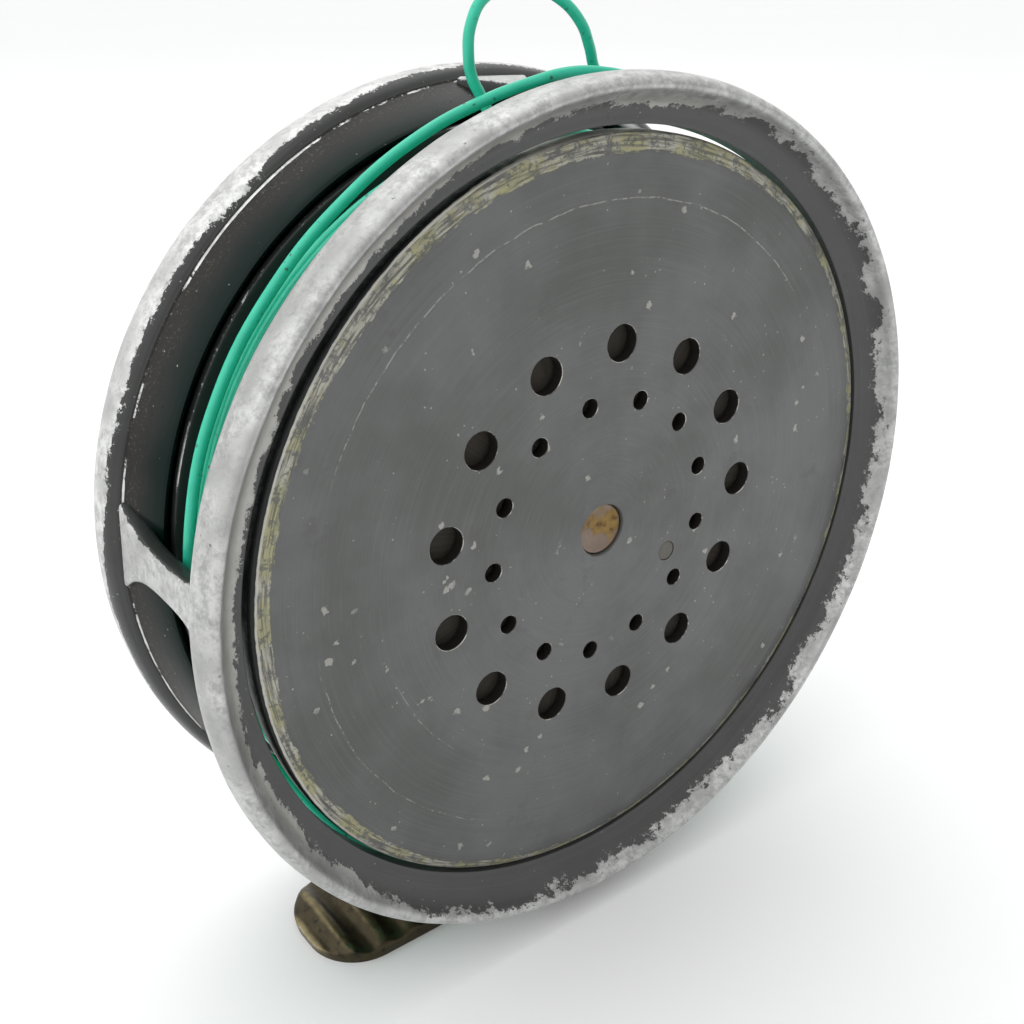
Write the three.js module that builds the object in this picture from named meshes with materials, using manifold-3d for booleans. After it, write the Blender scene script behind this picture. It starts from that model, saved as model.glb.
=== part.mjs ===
// A centre-pin fly reel, 95 mm across, standing on its foot.
//
// The reel turns about an axis along Y. Its open side, where the drum's pierced flange shows, faces -Y, and
// its handle is on the +Y side. The origin is on the underside of the foot, under the middle of the cage.
// Lengths are millimetres. Inside the group "reel", y is measured from the drum's open face and the axis is
// the Y axis; an angle is measured in the XZ plane from +X towards +Z.

import * as THREE from "three";
import { mergeVertices } from "three/addons/utils/BufferGeometryUtils.js";
import Module from "manifold-3d";

const wasm = await Module();
wasm.setup();

// ---- driving dimensions -------------------------------------------------------------------------------
const GAP = 0.3; // between neighbouring pieces that touch
const AXIS_HEIGHT = 50.8; // the drum's axis above the underside of the foot
const FOOT_FROM_FACE = 13.9; // the foot's centre line behind the drum's open face

const FRONT_RIM_RADIUS = 47.6;
const BACK_RIM_RADIUS = 46.6;
const BORE_RADIUS = 42.6; // inner lip of both rims
const GROOVE_FRONT = 2.6; // groove side of the front rim
const GROOVE_BACK = 17.5; // inner lip of the back rim
const BACK_PLATE_FRONT = 22.2;
const BACK_PLATE_BACK = 24.2;

const FRONT_FLANGE_RADIUS = 42;
const FLANGE_THICKNESS = 1.4;
const FLANGE_RIM = { width: 1.6, depth: 2.4 }; // the front flange's edge is thickened on its inside
const FLANGE_RADIUS = 41.8; // the back flange and the winding plate
const BACK_FLANGE_FRONT = 17.1;
const BACK_FLANGE_BACK = 18.4;
const LARGE_HOLES = { count: 13, circle: 21, radius: 2, firstDegrees: 85.1 };
const SMALL_HOLES = { count: 13, circle: 14.85, radius: 1.05, firstDegrees: 98.95 };
const KEY_PIN = { circle: 11.4, radius: 1.2, degrees: -29, length: 1.35 };
const ARBOR_RADIUS = 13;
const SPINDLE_RADIUS = 2.9;
const SPINDLE_SETBACK = 0.8; // the spindle's end stands this far inside the drum's face

const BACKING_RADIUS = 28.5;
const LINE_RADIUS = 39.4; // over the wound line
const LINE_DIAMETER = 1.15;

const PILLAR_DEGREES = { left: 176.2, top: 88, right: 5.2 };
const PILLAR_OUTSIDE = 45.4;
const PILLAR_THICKNESS = 2.2;
const PILLAR_FROM = 0.9; // both ends run into the rims and are cut clear of them
const PILLAR_TO = 23;
const PILLAR_WIDTH = 4.2;
const PILLAR_FLARE = 2.6; // how much wider each side of a pillar is at its ends
const SEAT_WIDTH = 25;
const SEAT_FLARE = 2;

const FOOT = { length: 66.4, width: 15.6, edge: 0.9, corner: 6.6, archRise: 7.5 };
const FOOT_RIBS = { x: [22.4, 26.4, 30.4], radius: 1.3, rise: 0.8, topAtMiddle: 3.6, fall: 0.07 };
const FOOT_SADDLE = { half: 11, shoulder: 11.6, shoulderHeight: 3.8, toe: 13.4, toeHeight: 2.7 };
const FOOT_SCREW = { x: 8, clearance: 1.4, countersink: 2.6, countersinkDepth: 1.5 };

const BEARING = { outside: 4.3, flange: 6, flangeThickness: 0.2 };
const BEARING_HOLE_RADIUS = 4.6;

const WHEEL_TEETH = 24;
const WHEEL_RADIUS = 9;
const TOOTH_DEPTH = 1.3;
const WHEEL_FRONT = 19.3;
const WHEEL_BACK = 21.4;
const PAWL_DEGREES = 62;
const PAWL = { circle: 19, boss: 2.5, bossFrom: -2.4, bossTo: 1.5, tail: 5.2, tailHalf: 1.5, pivot: 1.4 };
const PAWL_TO_WHEEL = 0.4;
const SPRING = { from: 2.6, middle: 9, arm: 2.9, strip: 0.5, setIn: 0.2 }; // x from the pawl's pivot
const PAWL_SCREW = { head: 1.9, headHeight: 0.3, shank: 1.1, front: 18.7 };
const SPRING_SCREW = { head: 2.3, headHeight: 0.6, shank: 1.2, front: 18.9 };
const FOOT_SCREWS = { head: 2.3, headHeight: 1, shank: 1.1, length: 7.4, setIn: 0.2 };

const WINDING_PLATE_FRONT = 25.2;
const WINDING_PLATE_BACK = 26.8;
const PLATE_SCREW = { head: 5, headHeight: 1.8, shank: 1.5, length: 1.9 };
const SPINDLE_END_RADIUS = 2; // the spindle's reduced end, which carries the winding plate
const HANDLE_CIRCLE = 31;
const HANDLE_DEGREES = -32;
const HANDLE_LENGTH = 21;
const HANDLE_POST_RADIUS = 1.6;
const HANDLE_HEAD_RADIUS = 3.2;
const HANDLE_COLLAR = { radius: 4.4, height: 1.4 };

// The slack turns lie on the winding, nearer its back than its front.
const SLACK = { y: 13.7, half: 1.3, lift: 0.4 };

const FINE = 60; // segments round the large rims
const MEDIUM = 36;
const COARSE = 20;

// ---- finishes -----------------------------------------------------------------------------------------
const finish = (color, roughness, metalness) => () =>
  new THREE.MeshStandardMaterial({ color, roughness, metalness });
const leadedAlloy = finish(0x66696a, 0.5, 0.6);
const brass = finish(0xb08d4f, 0.35, 1);
const footBronze = finish(0x4a3a22, 0.4, 0.9);
const steel = finish(0x8d8f92, 0.35, 1);
const greenLine = finish(0x2fb990, 0.45, 0);
const darkBacking = finish(0x2b2621, 0.8, 0);
const creamHandle = finish(0xe9dfc6, 0.4, 0);

// ---- geometry -----------------------------------------------------------------------------------------
const rad = THREE.MathUtils.degToRad;
const polar = (radius, degrees) => [radius * Math.cos(rad(degrees)), radius * Math.sin(rad(degrees))];

// A closed outline of [radius, y] turned about the Y axis.
function turned(outline, segments) {
  const points = [...outline, outline[0]].map(([radius, y]) => new THREE.Vector2(radius, y));
  return outward(new THREE.LatheGeometry(points, segments));
}

// A solid of revolution whose outline runs from the axis back to the axis.
function turnedSolid(outline, segments) {
  const points = outline.map(([radius, y]) => new THREE.Vector2(radius, y));
  return outward(new THREE.LatheGeometry(points, segments));
}

// The signed volume of a geometry: it is negative when the faces point in.
function signedVolume(geometry) {
  const position = geometry.attributes.position;
  const index = geometry.index;
  const corners = [new THREE.Vector3(), new THREE.Vector3(), new THREE.Vector3()];
  let volume = 0;
  for (let i = 0; i < index.count; i += 3) {
    corners.forEach((corner, k) => corner.fromBufferAttribute(position, index.getX(i + k)));
    volume += corners[0].dot(corners[1].cross(corners[2])) / 6;
  }
  return volume;
}

// The same geometry with merged vertices and its faces pointing out.
function outward(geometry) {
  geometry.deleteAttribute("normal");
  geometry.deleteAttribute("uv");
  const merged = mergeVertices(geometry, 1e-4);
  const kept = [];
  for (let i = 0; i < merged.index.count; i += 3) {
    const [a, b, c] = [0, 1, 2].map((k) => merged.index.getX(i + k));
    if (a !== b && b !== c && c !== a) kept.push([a, b, c]);
  }
  merged.setIndex(kept.flat());
  if (signedVolume(merged) < 0) merged.setIndex(kept.map(([a, b, c]) => [a, c, b]).flat());
  merged.computeVertexNormals();
  return merged;
}

function toSolid(geometry) {
  const merged = outward(geometry.clone());
  const vertProperties = new Float32Array(merged.attributes.position.array);
  const triVerts = new Uint32Array(merged.index.array);
  return new wasm.Manifold(new wasm.Mesh({ numProp: 3, vertProperties, triVerts }));
}

function toGeometry(solid) {
  const mesh = solid.getMesh();
  const geometry = new THREE.BufferGeometry();
  geometry.setAttribute("position", new THREE.BufferAttribute(mesh.vertProperties, 3));
  geometry.setIndex(new THREE.BufferAttribute(mesh.triVerts, 1));
  geometry.computeVertexNormals();
  return geometry;
}

const cutFrom = (geometry, ...cutters) =>
  toGeometry(cutters.reduce((solid, cutter) => solid.subtract(toSolid(cutter)), toSolid(geometry)));
const joined = (...geometries) => toGeometry(geometries.map(toSolid).reduce((a, b) => a.add(b)));
const common = (...geometries) => toGeometry(geometries.map(toSolid).reduce((a, b) => a.intersect(b)));

// A shape in the XZ plane carried along Y from one y to another.
function plate(shape, fromY, toY, curveSegments = 12) {
  const options = { depth: toY - fromY, bevelEnabled: false, curveSegments };
  const geometry = new THREE.ExtrudeGeometry(shape, options);
  return outward(geometry.rotateX(Math.PI / 2).translate(0, toY, 0));
}

function disc(radius, segments) {
  const shape = new THREE.Shape();
  shape.absarc(0, 0, radius, 0, 2 * Math.PI, false);
  return new THREE.Shape(shape.getPoints(Math.ceil(segments / 2)).slice(0, -1));
}

function holeAt(circle, radius, degrees, segments) {
  const [x, z] = polar(circle, degrees);
  const points = [];
  for (let i = 0; i < segments; i += 1) {
    const turn = (2 * Math.PI * i) / segments;
    points.push(new THREE.Vector2(x + radius * Math.cos(turn), z + radius * Math.sin(turn)));
  }
  return new THREE.Path(points);
}

function named(name, geometry, material, place = {}) {
  const mesh = new THREE.Mesh(geometry, material());
  mesh.name = name;
  if (place.position) mesh.position.set(...place.position);
  if (place.rotation) mesh.rotation.set(...place.rotation);
  return mesh;
}

const SCREW_SLOT = { width: 0.5, depth: 0.5 };

// A screw along Y: a slotted round head and a plain shank. Its head faces -Y, with its face at y = 0.
function screwGeometry(headRadius, headHeight, shankRadius, length) {
  const body = turnedSolid(
    [
      [0, 0],
      [headRadius, 0],
      [headRadius, headHeight],
      [shankRadius, headHeight],
      [shankRadius, length],
      [0, length],
    ],
    COARSE,
  );
  const slot = new THREE.BoxGeometry(2.4 * headRadius, 2 * SCREW_SLOT.depth, SCREW_SLOT.width);
  return cutFrom(body, slot);
}

// ---- the cage: two rims, the solid back and the pillars -----------------------------------------------

// The front rim, seen in section: a coved face between the inner lip and a rounded bead.
const frontRimOutline = [
  [BORE_RADIUS, 0.2],
  [43.7, 0],
  [44.8, -0.8],
  [45.6, -2],
  [46.05, -3],
  [46.45, -3.3],
  [46.95, -3.05],
  [47.4, -2.2],
  [FRONT_RIM_RADIUS, -0.9],
  [47.4, 0.5],
  [46.8, 1.6],
  [45.9, 2.3],
  [44.8, GROOVE_FRONT],
  [BORE_RADIUS, GROOVE_FRONT],
];

// The back of the cage: the inner lip flares out to a ridge and the second bead, and the plate closes it.
const backPlateOutline = [
  [BORE_RADIUS, GROOVE_BACK],
  [43.6, 19.2],
  [44.5, 21.1],
  [45.2, 22.4],
  [46.1, 23.2],
  [BACK_RIM_RADIUS, 25.1],
  [46.2, 27.2],
  [45.4, 28.5],
  [44.8, 28.2],
  [44, 26.6],
  [43.2, 25.6],
  [BORE_RADIUS, 25.3],
  [BORE_RADIUS, BACK_PLATE_BACK],
  [BEARING_HOLE_RADIUS, BACK_PLATE_BACK],
  [BEARING_HOLE_RADIUS, BACK_PLATE_FRONT],
  [BORE_RADIUS - 1.6, BACK_PLATE_FRONT],
  [42.1, 21],
  [42.1, GROOVE_BACK + 0.4],
];

// The clearance that a pillar's far end keeps from the flared inside of the back rim.
const backClearance = turned(
  [
    [40, GROOVE_BACK - GAP],
    [BORE_RADIUS, GROOVE_BACK - GAP],
    [43.6, 19.2 - GAP],
    [44.5, 21.1 - GAP],
    [45.2, 22.4 - GAP],
    [47, 23.2],
    [48, 30],
    [40, 30],
  ],
  FINE,
);
const frontClearance = turned(
  [
    [40, -2],
    [50, -2],
    [50, 0.6],
    [47.2, 1.6 + GAP],
    [46, 2.3 + GAP],
    [44.8, GROOVE_FRONT + GAP],
    [40, GROOVE_FRONT + GAP],
  ],
  FINE,
);

// A pillar lies tangent to the cage. Its sides are hollow curves, so it is widest where it meets the rims.
function pillarGeometry(width, flare) {
  const waist = width / 2;
  const end = waist + flare;
  const middleY = (PILLAR_FROM + PILLAR_TO) / 2;
  const shape = new THREE.Shape();
  shape.moveTo(-end, PILLAR_FROM);
  shape.lineTo(end, PILLAR_FROM);
  shape.quadraticCurveTo(waist, PILLAR_FROM + 2 * flare, waist, middleY);
  shape.quadraticCurveTo(waist, PILLAR_TO - 2 * flare, end, PILLAR_TO);
  shape.lineTo(-end, PILLAR_TO);
  shape.quadraticCurveTo(-waist, PILLAR_TO - 2 * flare, -waist, middleY);
  shape.quadraticCurveTo(-waist, PILLAR_FROM + 2 * flare, -end, PILLAR_FROM);
  const options = { depth: PILLAR_THICKNESS, bevelEnabled: false, curveSegments: 6 };
  const bar = new THREE.ExtrudeGeometry(shape, options);
  return outward(bar.translate(0, 0, PILLAR_OUTSIDE - PILLAR_THICKNESS));
}

// Turned about Y so that its outer face looks along the given angle, and cut clear of both rims.
function placedPillar(width, flare, degrees) {
  const bar = pillarGeometry(width, flare).rotateY(rad(90 - degrees));
  return cutFrom(bar, backClearance, frontClearance);
}

const reel = new THREE.Group();
reel.position.set(0, -FOOT_FROM_FACE, AXIS_HEIGHT);
reel.add(named("cage_front_rim", turned(frontRimOutline, FINE), leadedAlloy));
reel.add(named("cage_back_plate", turned(backPlateOutline, FINE), leadedAlloy));
for (const [side, degrees] of Object.entries(PILLAR_DEGREES)) {
  reel.add(named(`cage_pillar_${side}`, placedPillar(PILLAR_WIDTH, PILLAR_FLARE, degrees), leadedAlloy));
}

// The foot seat is a broad pillar under the cage, drilled for the two foot screws.
function uprightHole(radius, x, y, fromZ, toZ) {
  const cylinder = new THREE.CylinderGeometry(radius, radius, toZ - fromZ, COARSE);
  return cylinder.rotateX(Math.PI / 2).translate(x, y, (fromZ + toZ) / 2);
}

const FOOT_SCREW_PLACES = [-FOOT_SCREW.x, FOOT_SCREW.x];
const screwHoles = FOOT_SCREW_PLACES.map((x) =>
  uprightHole(FOOT_SCREW.clearance, x, FOOT_FROM_FACE, -PILLAR_OUTSIDE - 2, -PILLAR_OUTSIDE + 4),
);
const seatBar = placedPillar(SEAT_WIDTH, SEAT_FLARE, -90);
reel.add(named("foot_seat", cutFrom(seatBar, ...screwHoles), leadedAlloy));

// ---- the drum -----------------------------------------------------------------------------------------

function frontFlangeGeometry() {
  const shape = disc(FRONT_FLANGE_RADIUS, FINE);
  for (const { count, circle, radius, firstDegrees } of [LARGE_HOLES, SMALL_HOLES]) {
    for (let i = 0; i < count; i += 1) {
      shape.holes.push(holeAt(circle, radius, firstDegrees - (360 * i) / count, radius > 1.5 ? 14 : 10));
    }
  }
  shape.holes.push(holeAt(KEY_PIN.circle, KEY_PIN.radius + GAP, KEY_PIN.degrees, 12));
  shape.holes.push(holeAt(0, SPINDLE_RADIUS + GAP, 0, COARSE));
  const inside = FRONT_FLANGE_RADIUS - FLANGE_RIM.width;
  const rim = ring(inside, FRONT_FLANGE_RADIUS, FLANGE_THICKNESS / 2, FLANGE_RIM.depth, FINE);
  return joined(plate(shape, 0, FLANGE_THICKNESS), rim);
}

function ring(inner, outer, fromY, toY, segments) {
  return turned(
    [
      [inner, fromY],
      [outer, fromY],
      [outer, toY],
      [inner, toY],
    ],
    segments,
  );
}

// The spindle's end is turned slightly hollow.
const spindleOutline = [
  [0, SPINDLE_SETBACK + 0.3],
  [SPINDLE_RADIUS - 0.8, SPINDLE_SETBACK],
  [SPINDLE_RADIUS, SPINDLE_SETBACK],
  [SPINDLE_RADIUS, WINDING_PLATE_FRONT - GAP],
  [SPINDLE_END_RADIUS, WINDING_PLATE_FRONT - GAP],
  [SPINDLE_END_RADIUS, WINDING_PLATE_BACK - GAP],
  [0, WINDING_PLATE_BACK - GAP],
];

function checkWheelGeometry() {
  const points = [];
  for (let i = 0; i < WHEEL_TEETH; i += 1) {
    const pitch = 360 / WHEEL_TEETH;
    points.push(new THREE.Vector2(...polar(WHEEL_RADIUS, pitch * i)));
    points.push(new THREE.Vector2(...polar(WHEEL_RADIUS - TOOTH_DEPTH, pitch * (i + 0.5))));
  }
  const shape = new THREE.Shape(points);
  shape.holes.push(holeAt(0, SPINDLE_RADIUS + GAP, 0, COARSE));
  return plate(shape, WHEEL_FRONT, WHEEL_BACK);
}

// The wound line bulges a little between the flanges.
const lineWindingOutline = [
  [BACKING_RADIUS + GAP, FLANGE_THICKNESS + GAP],
  [LINE_RADIUS - 0.7, FLANGE_THICKNESS + GAP],
  [LINE_RADIUS, 4.5],
  [LINE_RADIUS, 14],
  [LINE_RADIUS - 0.7, BACK_FLANGE_FRONT - GAP],
  [BACKING_RADIUS + GAP, BACK_FLANGE_FRONT - GAP],
];

reel.add(named("drum_front_flange", frontFlangeGeometry(), leadedAlloy));
const arborFrom = FLANGE_THICKNESS + GAP;
const arborTo = BACK_FLANGE_FRONT - GAP;
const arbor = ring(SPINDLE_RADIUS + GAP, ARBOR_RADIUS, arborFrom, arborTo, MEDIUM);
reel.add(named("drum_arbor", arbor, leadedAlloy));
const backFlange = ring(SPINDLE_RADIUS + GAP, FLANGE_RADIUS, BACK_FLANGE_FRONT, BACK_FLANGE_BACK, FINE);
reel.add(named("drum_back_flange", backFlange, leadedAlloy));
const [pinX, pinZ] = polar(KEY_PIN.circle, KEY_PIN.degrees);
const keyPin = new THREE.CylinderGeometry(KEY_PIN.radius, KEY_PIN.radius, KEY_PIN.length, 12);
const keyPinPlace = { position: [pinX, FLANGE_THICKNESS / 2, pinZ] };
reel.add(named("drum_key_pin", outward(keyPin), leadedAlloy, keyPinPlace));
reel.add(named("spindle", turnedSolid(spindleOutline, COARSE), brass));
const backing = ring(ARBOR_RADIUS + GAP, BACKING_RADIUS, arborFrom, arborTo, MEDIUM);
reel.add(named("backing_winding", backing, darkBacking));
reel.add(named("line_winding", turned(lineWindingOutline, FINE), greenLine));
reel.add(named("check_wheel", checkWheelGeometry(), brass));

// ---- bearing and check --------------------------------------------------------------------------------
const bush = turned(
  [
    [SPINDLE_RADIUS + GAP, BACK_PLATE_FRONT - GAP - BEARING.flangeThickness],
    [BEARING.flange, BACK_PLATE_FRONT - GAP - BEARING.flangeThickness],
    [BEARING.flange, BACK_PLATE_FRONT - GAP],
    [BEARING.outside, BACK_PLATE_FRONT - GAP],
    [BEARING.outside, BACK_PLATE_BACK],
    [SPINDLE_RADIUS + GAP, BACK_PLATE_BACK],
  ],
  COARSE,
);
reel.add(named("bearing_bush", bush, brass));

// The check works in the space between the drum and the back plate. Its parts are drawn along +X from the
// axis and turned to their place together.
const check = new THREE.Group();
check.rotation.y = -rad(PAWL_DEGREES);
reel.add(check);

const pawlTip = PAWL.circle - WHEEL_RADIUS - PAWL_TO_WHEEL;
const pawlShape = new THREE.Shape();
pawlShape.moveTo(-pawlTip, 0);
pawlShape.lineTo(PAWL.bossFrom, -PAWL.boss);
pawlShape.lineTo(PAWL.bossTo, -PAWL.boss);
pawlShape.lineTo(PAWL.tail, -PAWL.tailHalf);
pawlShape.lineTo(PAWL.tail, PAWL.tailHalf);
pawlShape.lineTo(PAWL.bossTo, PAWL.boss);
pawlShape.lineTo(PAWL.bossFrom, PAWL.boss);
pawlShape.closePath();
pawlShape.holes.push(holeAt(0, PAWL.pivot, 0, 12));
const pawlPlace = { position: [PAWL.circle, 0, 0] };
check.add(named("check_pawl", plate(pawlShape, WHEEL_FRONT, WHEEL_BACK), steel, pawlPlace));

// A screw that reaches from its place in front of the back plate to just short of it.
function checkScrew({ head, headHeight, shank, front }) {
  return screwGeometry(head, headHeight, shank, BACK_PLATE_FRONT - GAP - front);
}

const pawlScrewPlace = { position: [PAWL.circle, PAWL_SCREW.front, 0] };
check.add(named("pawl_screw", checkScrew(PAWL_SCREW), steel, pawlScrewPlace));

// A hairpin spring straddles the pawl's tail.
const springFrom = PAWL.circle + SPRING.from;
const springMiddle = PAWL.circle + SPRING.middle;
const springOutside = SPRING.arm + SPRING.strip;
const springShape = new THREE.Shape();
springShape.moveTo(springFrom, -SPRING.arm);
springShape.lineTo(springMiddle, -SPRING.arm);
springShape.absarc(springMiddle, 0, SPRING.arm, -Math.PI / 2, Math.PI / 2, false);
springShape.lineTo(springFrom, SPRING.arm);
springShape.lineTo(springFrom, springOutside);
springShape.lineTo(springMiddle, springOutside);
springShape.absarc(springMiddle, 0, springOutside, Math.PI / 2, -Math.PI / 2, true);
springShape.lineTo(springFrom, -springOutside);
springShape.closePath();
check.add(named("check_spring", plate(springShape, WHEEL_FRONT + SPRING.setIn, WHEEL_BACK, 8), steel));
const springScrewPlace = { position: [springMiddle, SPRING_SCREW.front, 0] };
check.add(named("spring_screw", checkScrew(SPRING_SCREW), steel, springScrewPlace));

// ---- winding plate and handle -------------------------------------------------------------------------
const windingPlate = disc(FLANGE_RADIUS, FINE);
windingPlate.holes.push(holeAt(HANDLE_CIRCLE, HANDLE_POST_RADIUS + GAP, HANDLE_DEGREES, 12));
windingPlate.holes.push(holeAt(0, SPINDLE_END_RADIUS + GAP, 0, 12));
const windingPlateGeometry = plate(windingPlate, WINDING_PLATE_FRONT, WINDING_PLATE_BACK);
reel.add(named("winding_plate", windingPlateGeometry, leadedAlloy));
const { head: plateHead, headHeight: plateHeadHeight } = PLATE_SCREW;
const plateScrew = screwGeometry(plateHead, plateHeadHeight, PLATE_SCREW.shank, PLATE_SCREW.length);
const plateScrewFace = WINDING_PLATE_BACK + GAP + plateHeadHeight;
const plateScrewPlace = { position: [0, plateScrewFace, 0], rotation: [Math.PI, 0, 0] };
reel.add(named("winding_plate_screw", plateScrew, brass, plateScrewPlace));

const [handleX, handleZ] = polar(HANDLE_CIRCLE, HANDLE_DEGREES);
const handle = new THREE.Group();
handle.position.set(handleX, 0, handleZ);
reel.add(handle);

const collarFront = WINDING_PLATE_BACK + GAP;
const collarBack = collarFront + HANDLE_COLLAR.height;
const postHole = HANDLE_POST_RADIUS + GAP;
const collar = ring(postHole, HANDLE_COLLAR.radius, collarFront, collarBack, COARSE);
handle.add(named("handle_collar", collar, brass));
const gripFront = collarBack + GAP;
const gripBack = gripFront + HANDLE_LENGTH;
const gripSeat = gripBack - 1; // the grip's end is sunk for the post's riveted head
const gripOutline = [
  [postHole, gripFront],
  [4.6, gripFront],
  [5, gripFront + 1],
  [5, gripFront + 4],
  [6.1, gripFront + 13],
  [6, gripBack - 2.5],
  [5, gripBack - 0.6],
  [3.6, gripBack],
  [3.6, gripSeat],
  [postHole, gripSeat],
];
handle.add(named("handle_grip", turned(gripOutline, 24), creamHandle));
const postOutline = [
  [0, WINDING_PLATE_FRONT + 0.1],
  [HANDLE_POST_RADIUS, WINDING_PLATE_FRONT + 0.1],
  [HANDLE_POST_RADIUS, gripSeat + GAP],
  [HANDLE_HEAD_RADIUS, gripSeat + GAP],
  [HANDLE_HEAD_RADIUS - 0.8, gripBack + 0.2],
  [0, gripBack + 0.4],
];
handle.add(named("handle_post", turnedSolid(postOutline, COARSE), steel));

// ---- the foot -----------------------------------------------------------------------------------------
// The foot is the common part of three outlines: its ribbed side view, its plan and its arched end view.

function sideView() {
  const half = FOOT.length / 2;
  const saddleTop = AXIS_HEIGHT - PILLAR_OUTSIDE - GAP;
  const right = [
    [half, 0],
    [half, FOOT.edge],
  ];
  for (const x of [...FOOT_RIBS.x].reverse()) {
    const height = FOOT_RIBS.topAtMiddle - FOOT_RIBS.fall * x;
    for (const turn of [0, 45, 90, 135, 180]) {
      const along = FOOT_RIBS.radius * Math.cos(rad(turn));
      right.push([x + along, height + FOOT_RIBS.rise * Math.sin(rad(turn))]);
    }
  }
  right.push([FOOT_SADDLE.toe, FOOT_SADDLE.toeHeight]);
  right.push([FOOT_SADDLE.shoulder, FOOT_SADDLE.shoulderHeight]);
  right.push([FOOT_SADDLE.half, saddleTop]);
  const left = right.map(([x, z]) => [-x, z]).reverse();
  const shape = new THREE.Shape([...right, ...left].map(([x, z]) => new THREE.Vector2(x, z)));
  return plate(shape, -FOOT.width, FOOT.width);
}

function planView() {
  const half = FOOT.length / 2;
  const wide = FOOT.width / 2;
  const inX = half - FOOT.corner;
  const inY = wide - FOOT.corner;
  const shape = new THREE.Shape();
  shape.moveTo(-inX, -wide);
  shape.absarc(inX, -inY, FOOT.corner, -Math.PI / 2, 0, false);
  shape.absarc(inX, inY, FOOT.corner, 0, Math.PI / 2, false);
  shape.absarc(-inX, inY, FOOT.corner, Math.PI / 2, Math.PI, false);
  shape.absarc(-inX, -inY, FOOT.corner, Math.PI, (3 * Math.PI) / 2, false);
  const options = { depth: 10, bevelEnabled: false, curveSegments: 6 };
  return new THREE.ExtrudeGeometry(shape, options).translate(0, 0, -1);
}

// Seen from its end, the foot rises from a thin edge in a flattened arch that clears the saddle.
function endView() {
  const wide = FOOT.width / 2 + 0.2;
  const flattening = 0.6; // less than 1 fills out the arch's shoulders
  const points = [[-wide, 0], [wide, 0]];
  for (let turn = 0; turn <= 180; turn += 20) {
    const rise = FOOT.archRise * Math.sin(rad(turn)) ** flattening;
    points.push([wide * Math.cos(rad(turn)), FOOT.edge + rise]);
  }
  const shape = new THREE.Shape(points.map(([y, z]) => new THREE.Vector2(y, z)));
  const long = FOOT.length + 10;
  const bar = new THREE.ExtrudeGeometry(shape, { depth: long, bevelEnabled: false });
  return bar.translate(0, 0, -long / 2).rotateX(Math.PI / 2).rotateZ(Math.PI / 2);
}

const footHoles = FOOT_SCREW_PLACES.flatMap((x) => [
  uprightHole(FOOT_SCREW.clearance, x, 0, -4, 12),
  uprightHole(FOOT_SCREW.countersink, x, 0, -1, FOOT_SCREW.countersinkDepth),
]);
const foot = cutFrom(common(sideView(), planView(), endView()), ...footHoles);

const part = new THREE.Group();
part.add(reel);
part.add(named("foot", foot, footBronze));
const { head: footHead, headHeight: footHeadHeight } = FOOT_SCREWS;
FOOT_SCREW_PLACES.forEach((x, i) => {
  const screw = screwGeometry(footHead, footHeadHeight, FOOT_SCREWS.shank, FOOT_SCREWS.length);
  const place = { position: [x, 0, FOOT_SCREWS.setIn], rotation: [Math.PI / 2, 0, 0] };
  part.add(named(`foot_screw_${i + 1}`, screw, steel, place));
});

// ---- the loose line -----------------------------------------------------------------------------------
// Two slack turns lie on the winding, held as one ring. From them one more turn sags away from the drum at
// the lower left, climbs over the groove, crosses the top pillar, turns back on itself and stands up in a
// loop that goes back down.
const slackInside = LINE_RADIUS + SLACK.lift;
const slackFrom = SLACK.y - SLACK.half;
const slackTo = SLACK.y + SLACK.half;
const slackRing = ring(slackInside, slackInside + LINE_DIAMETER, slackFrom, slackTo, FINE);
reel.add(named("loose_line_turns", slackRing, greenLine));

// The climbing turn and the loop as [degrees, radius, y] about the reel's axis.
const looseRoute = [
  [262, 41.6, 11.4],
  [253, 42.1, 10],
  [245, 43, 8],
  [236, 43.6, 6.8],
  [228, 43.8, 6.6],
  [221, 43.2, 7.8],
  [214, 42.5, 9.8],
  [207, 41.9, 11.3],
  [198, 42.3, 12.4],
  [184, 42.2, 12.6],
  [168, 42.2, 12.6],
  [152, 42.3, 12.6],
  [136, 42.5, 12.4],
  [122, 43.1, 12],
  [110, 44.2, 11.2],
  [101, 45.2, 10],
  [94, 46.1, 8.8],
  [89.5, 46.7, 8],
  [85, 46.8, 7.2],
  [79, 46.4, 6.7],
  [73.8, 45.8, 7.5],
  [71.3, 45.3, 9.8],
  [72.6, 45.2, 12.1],
  [76.3, 45.7, 13.2],
  [79.6, 47, 13.2],
  [81.4, 49.1, 12.9],
  [83.4, 51.2, 12.6],
  [87, 53.4, 12.6],
  [91.8, 54.7, 12.6],
  [96.6, 53.9, 12.6],
  [98.7, 51.8, 12.6],
  [99.5, 49.2, 12.7],
  [99.4, 47, 12.8],
  [98.6, 45, 12.6],
  [98.2, 43, 12.1],
  [99.4, 41.4, 11.5],
  [103, 40.6, 11.1],
  [109, 40.35, 11],
];

const loosePoints = looseRoute.map(([degrees, radius, y]) => {
  const [x, z] = polar(radius, degrees);
  return new THREE.Vector3(x, y, z);
});
const looseCurve = new THREE.CatmullRomCurve3(loosePoints, false, "centripetal");
const section = new THREE.Shape(
  Array.from({ length: 8 }, (_, i) => new THREE.Vector2(...polar(LINE_DIAMETER / 2, 45 * i + 22.5))),
);
const looseLine = new THREE.ExtrudeGeometry(section, { steps: 78, extrudePath: looseCurve });
reel.add(named("loose_line_loop", outward(looseLine), greenLine));

export default part;
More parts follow.
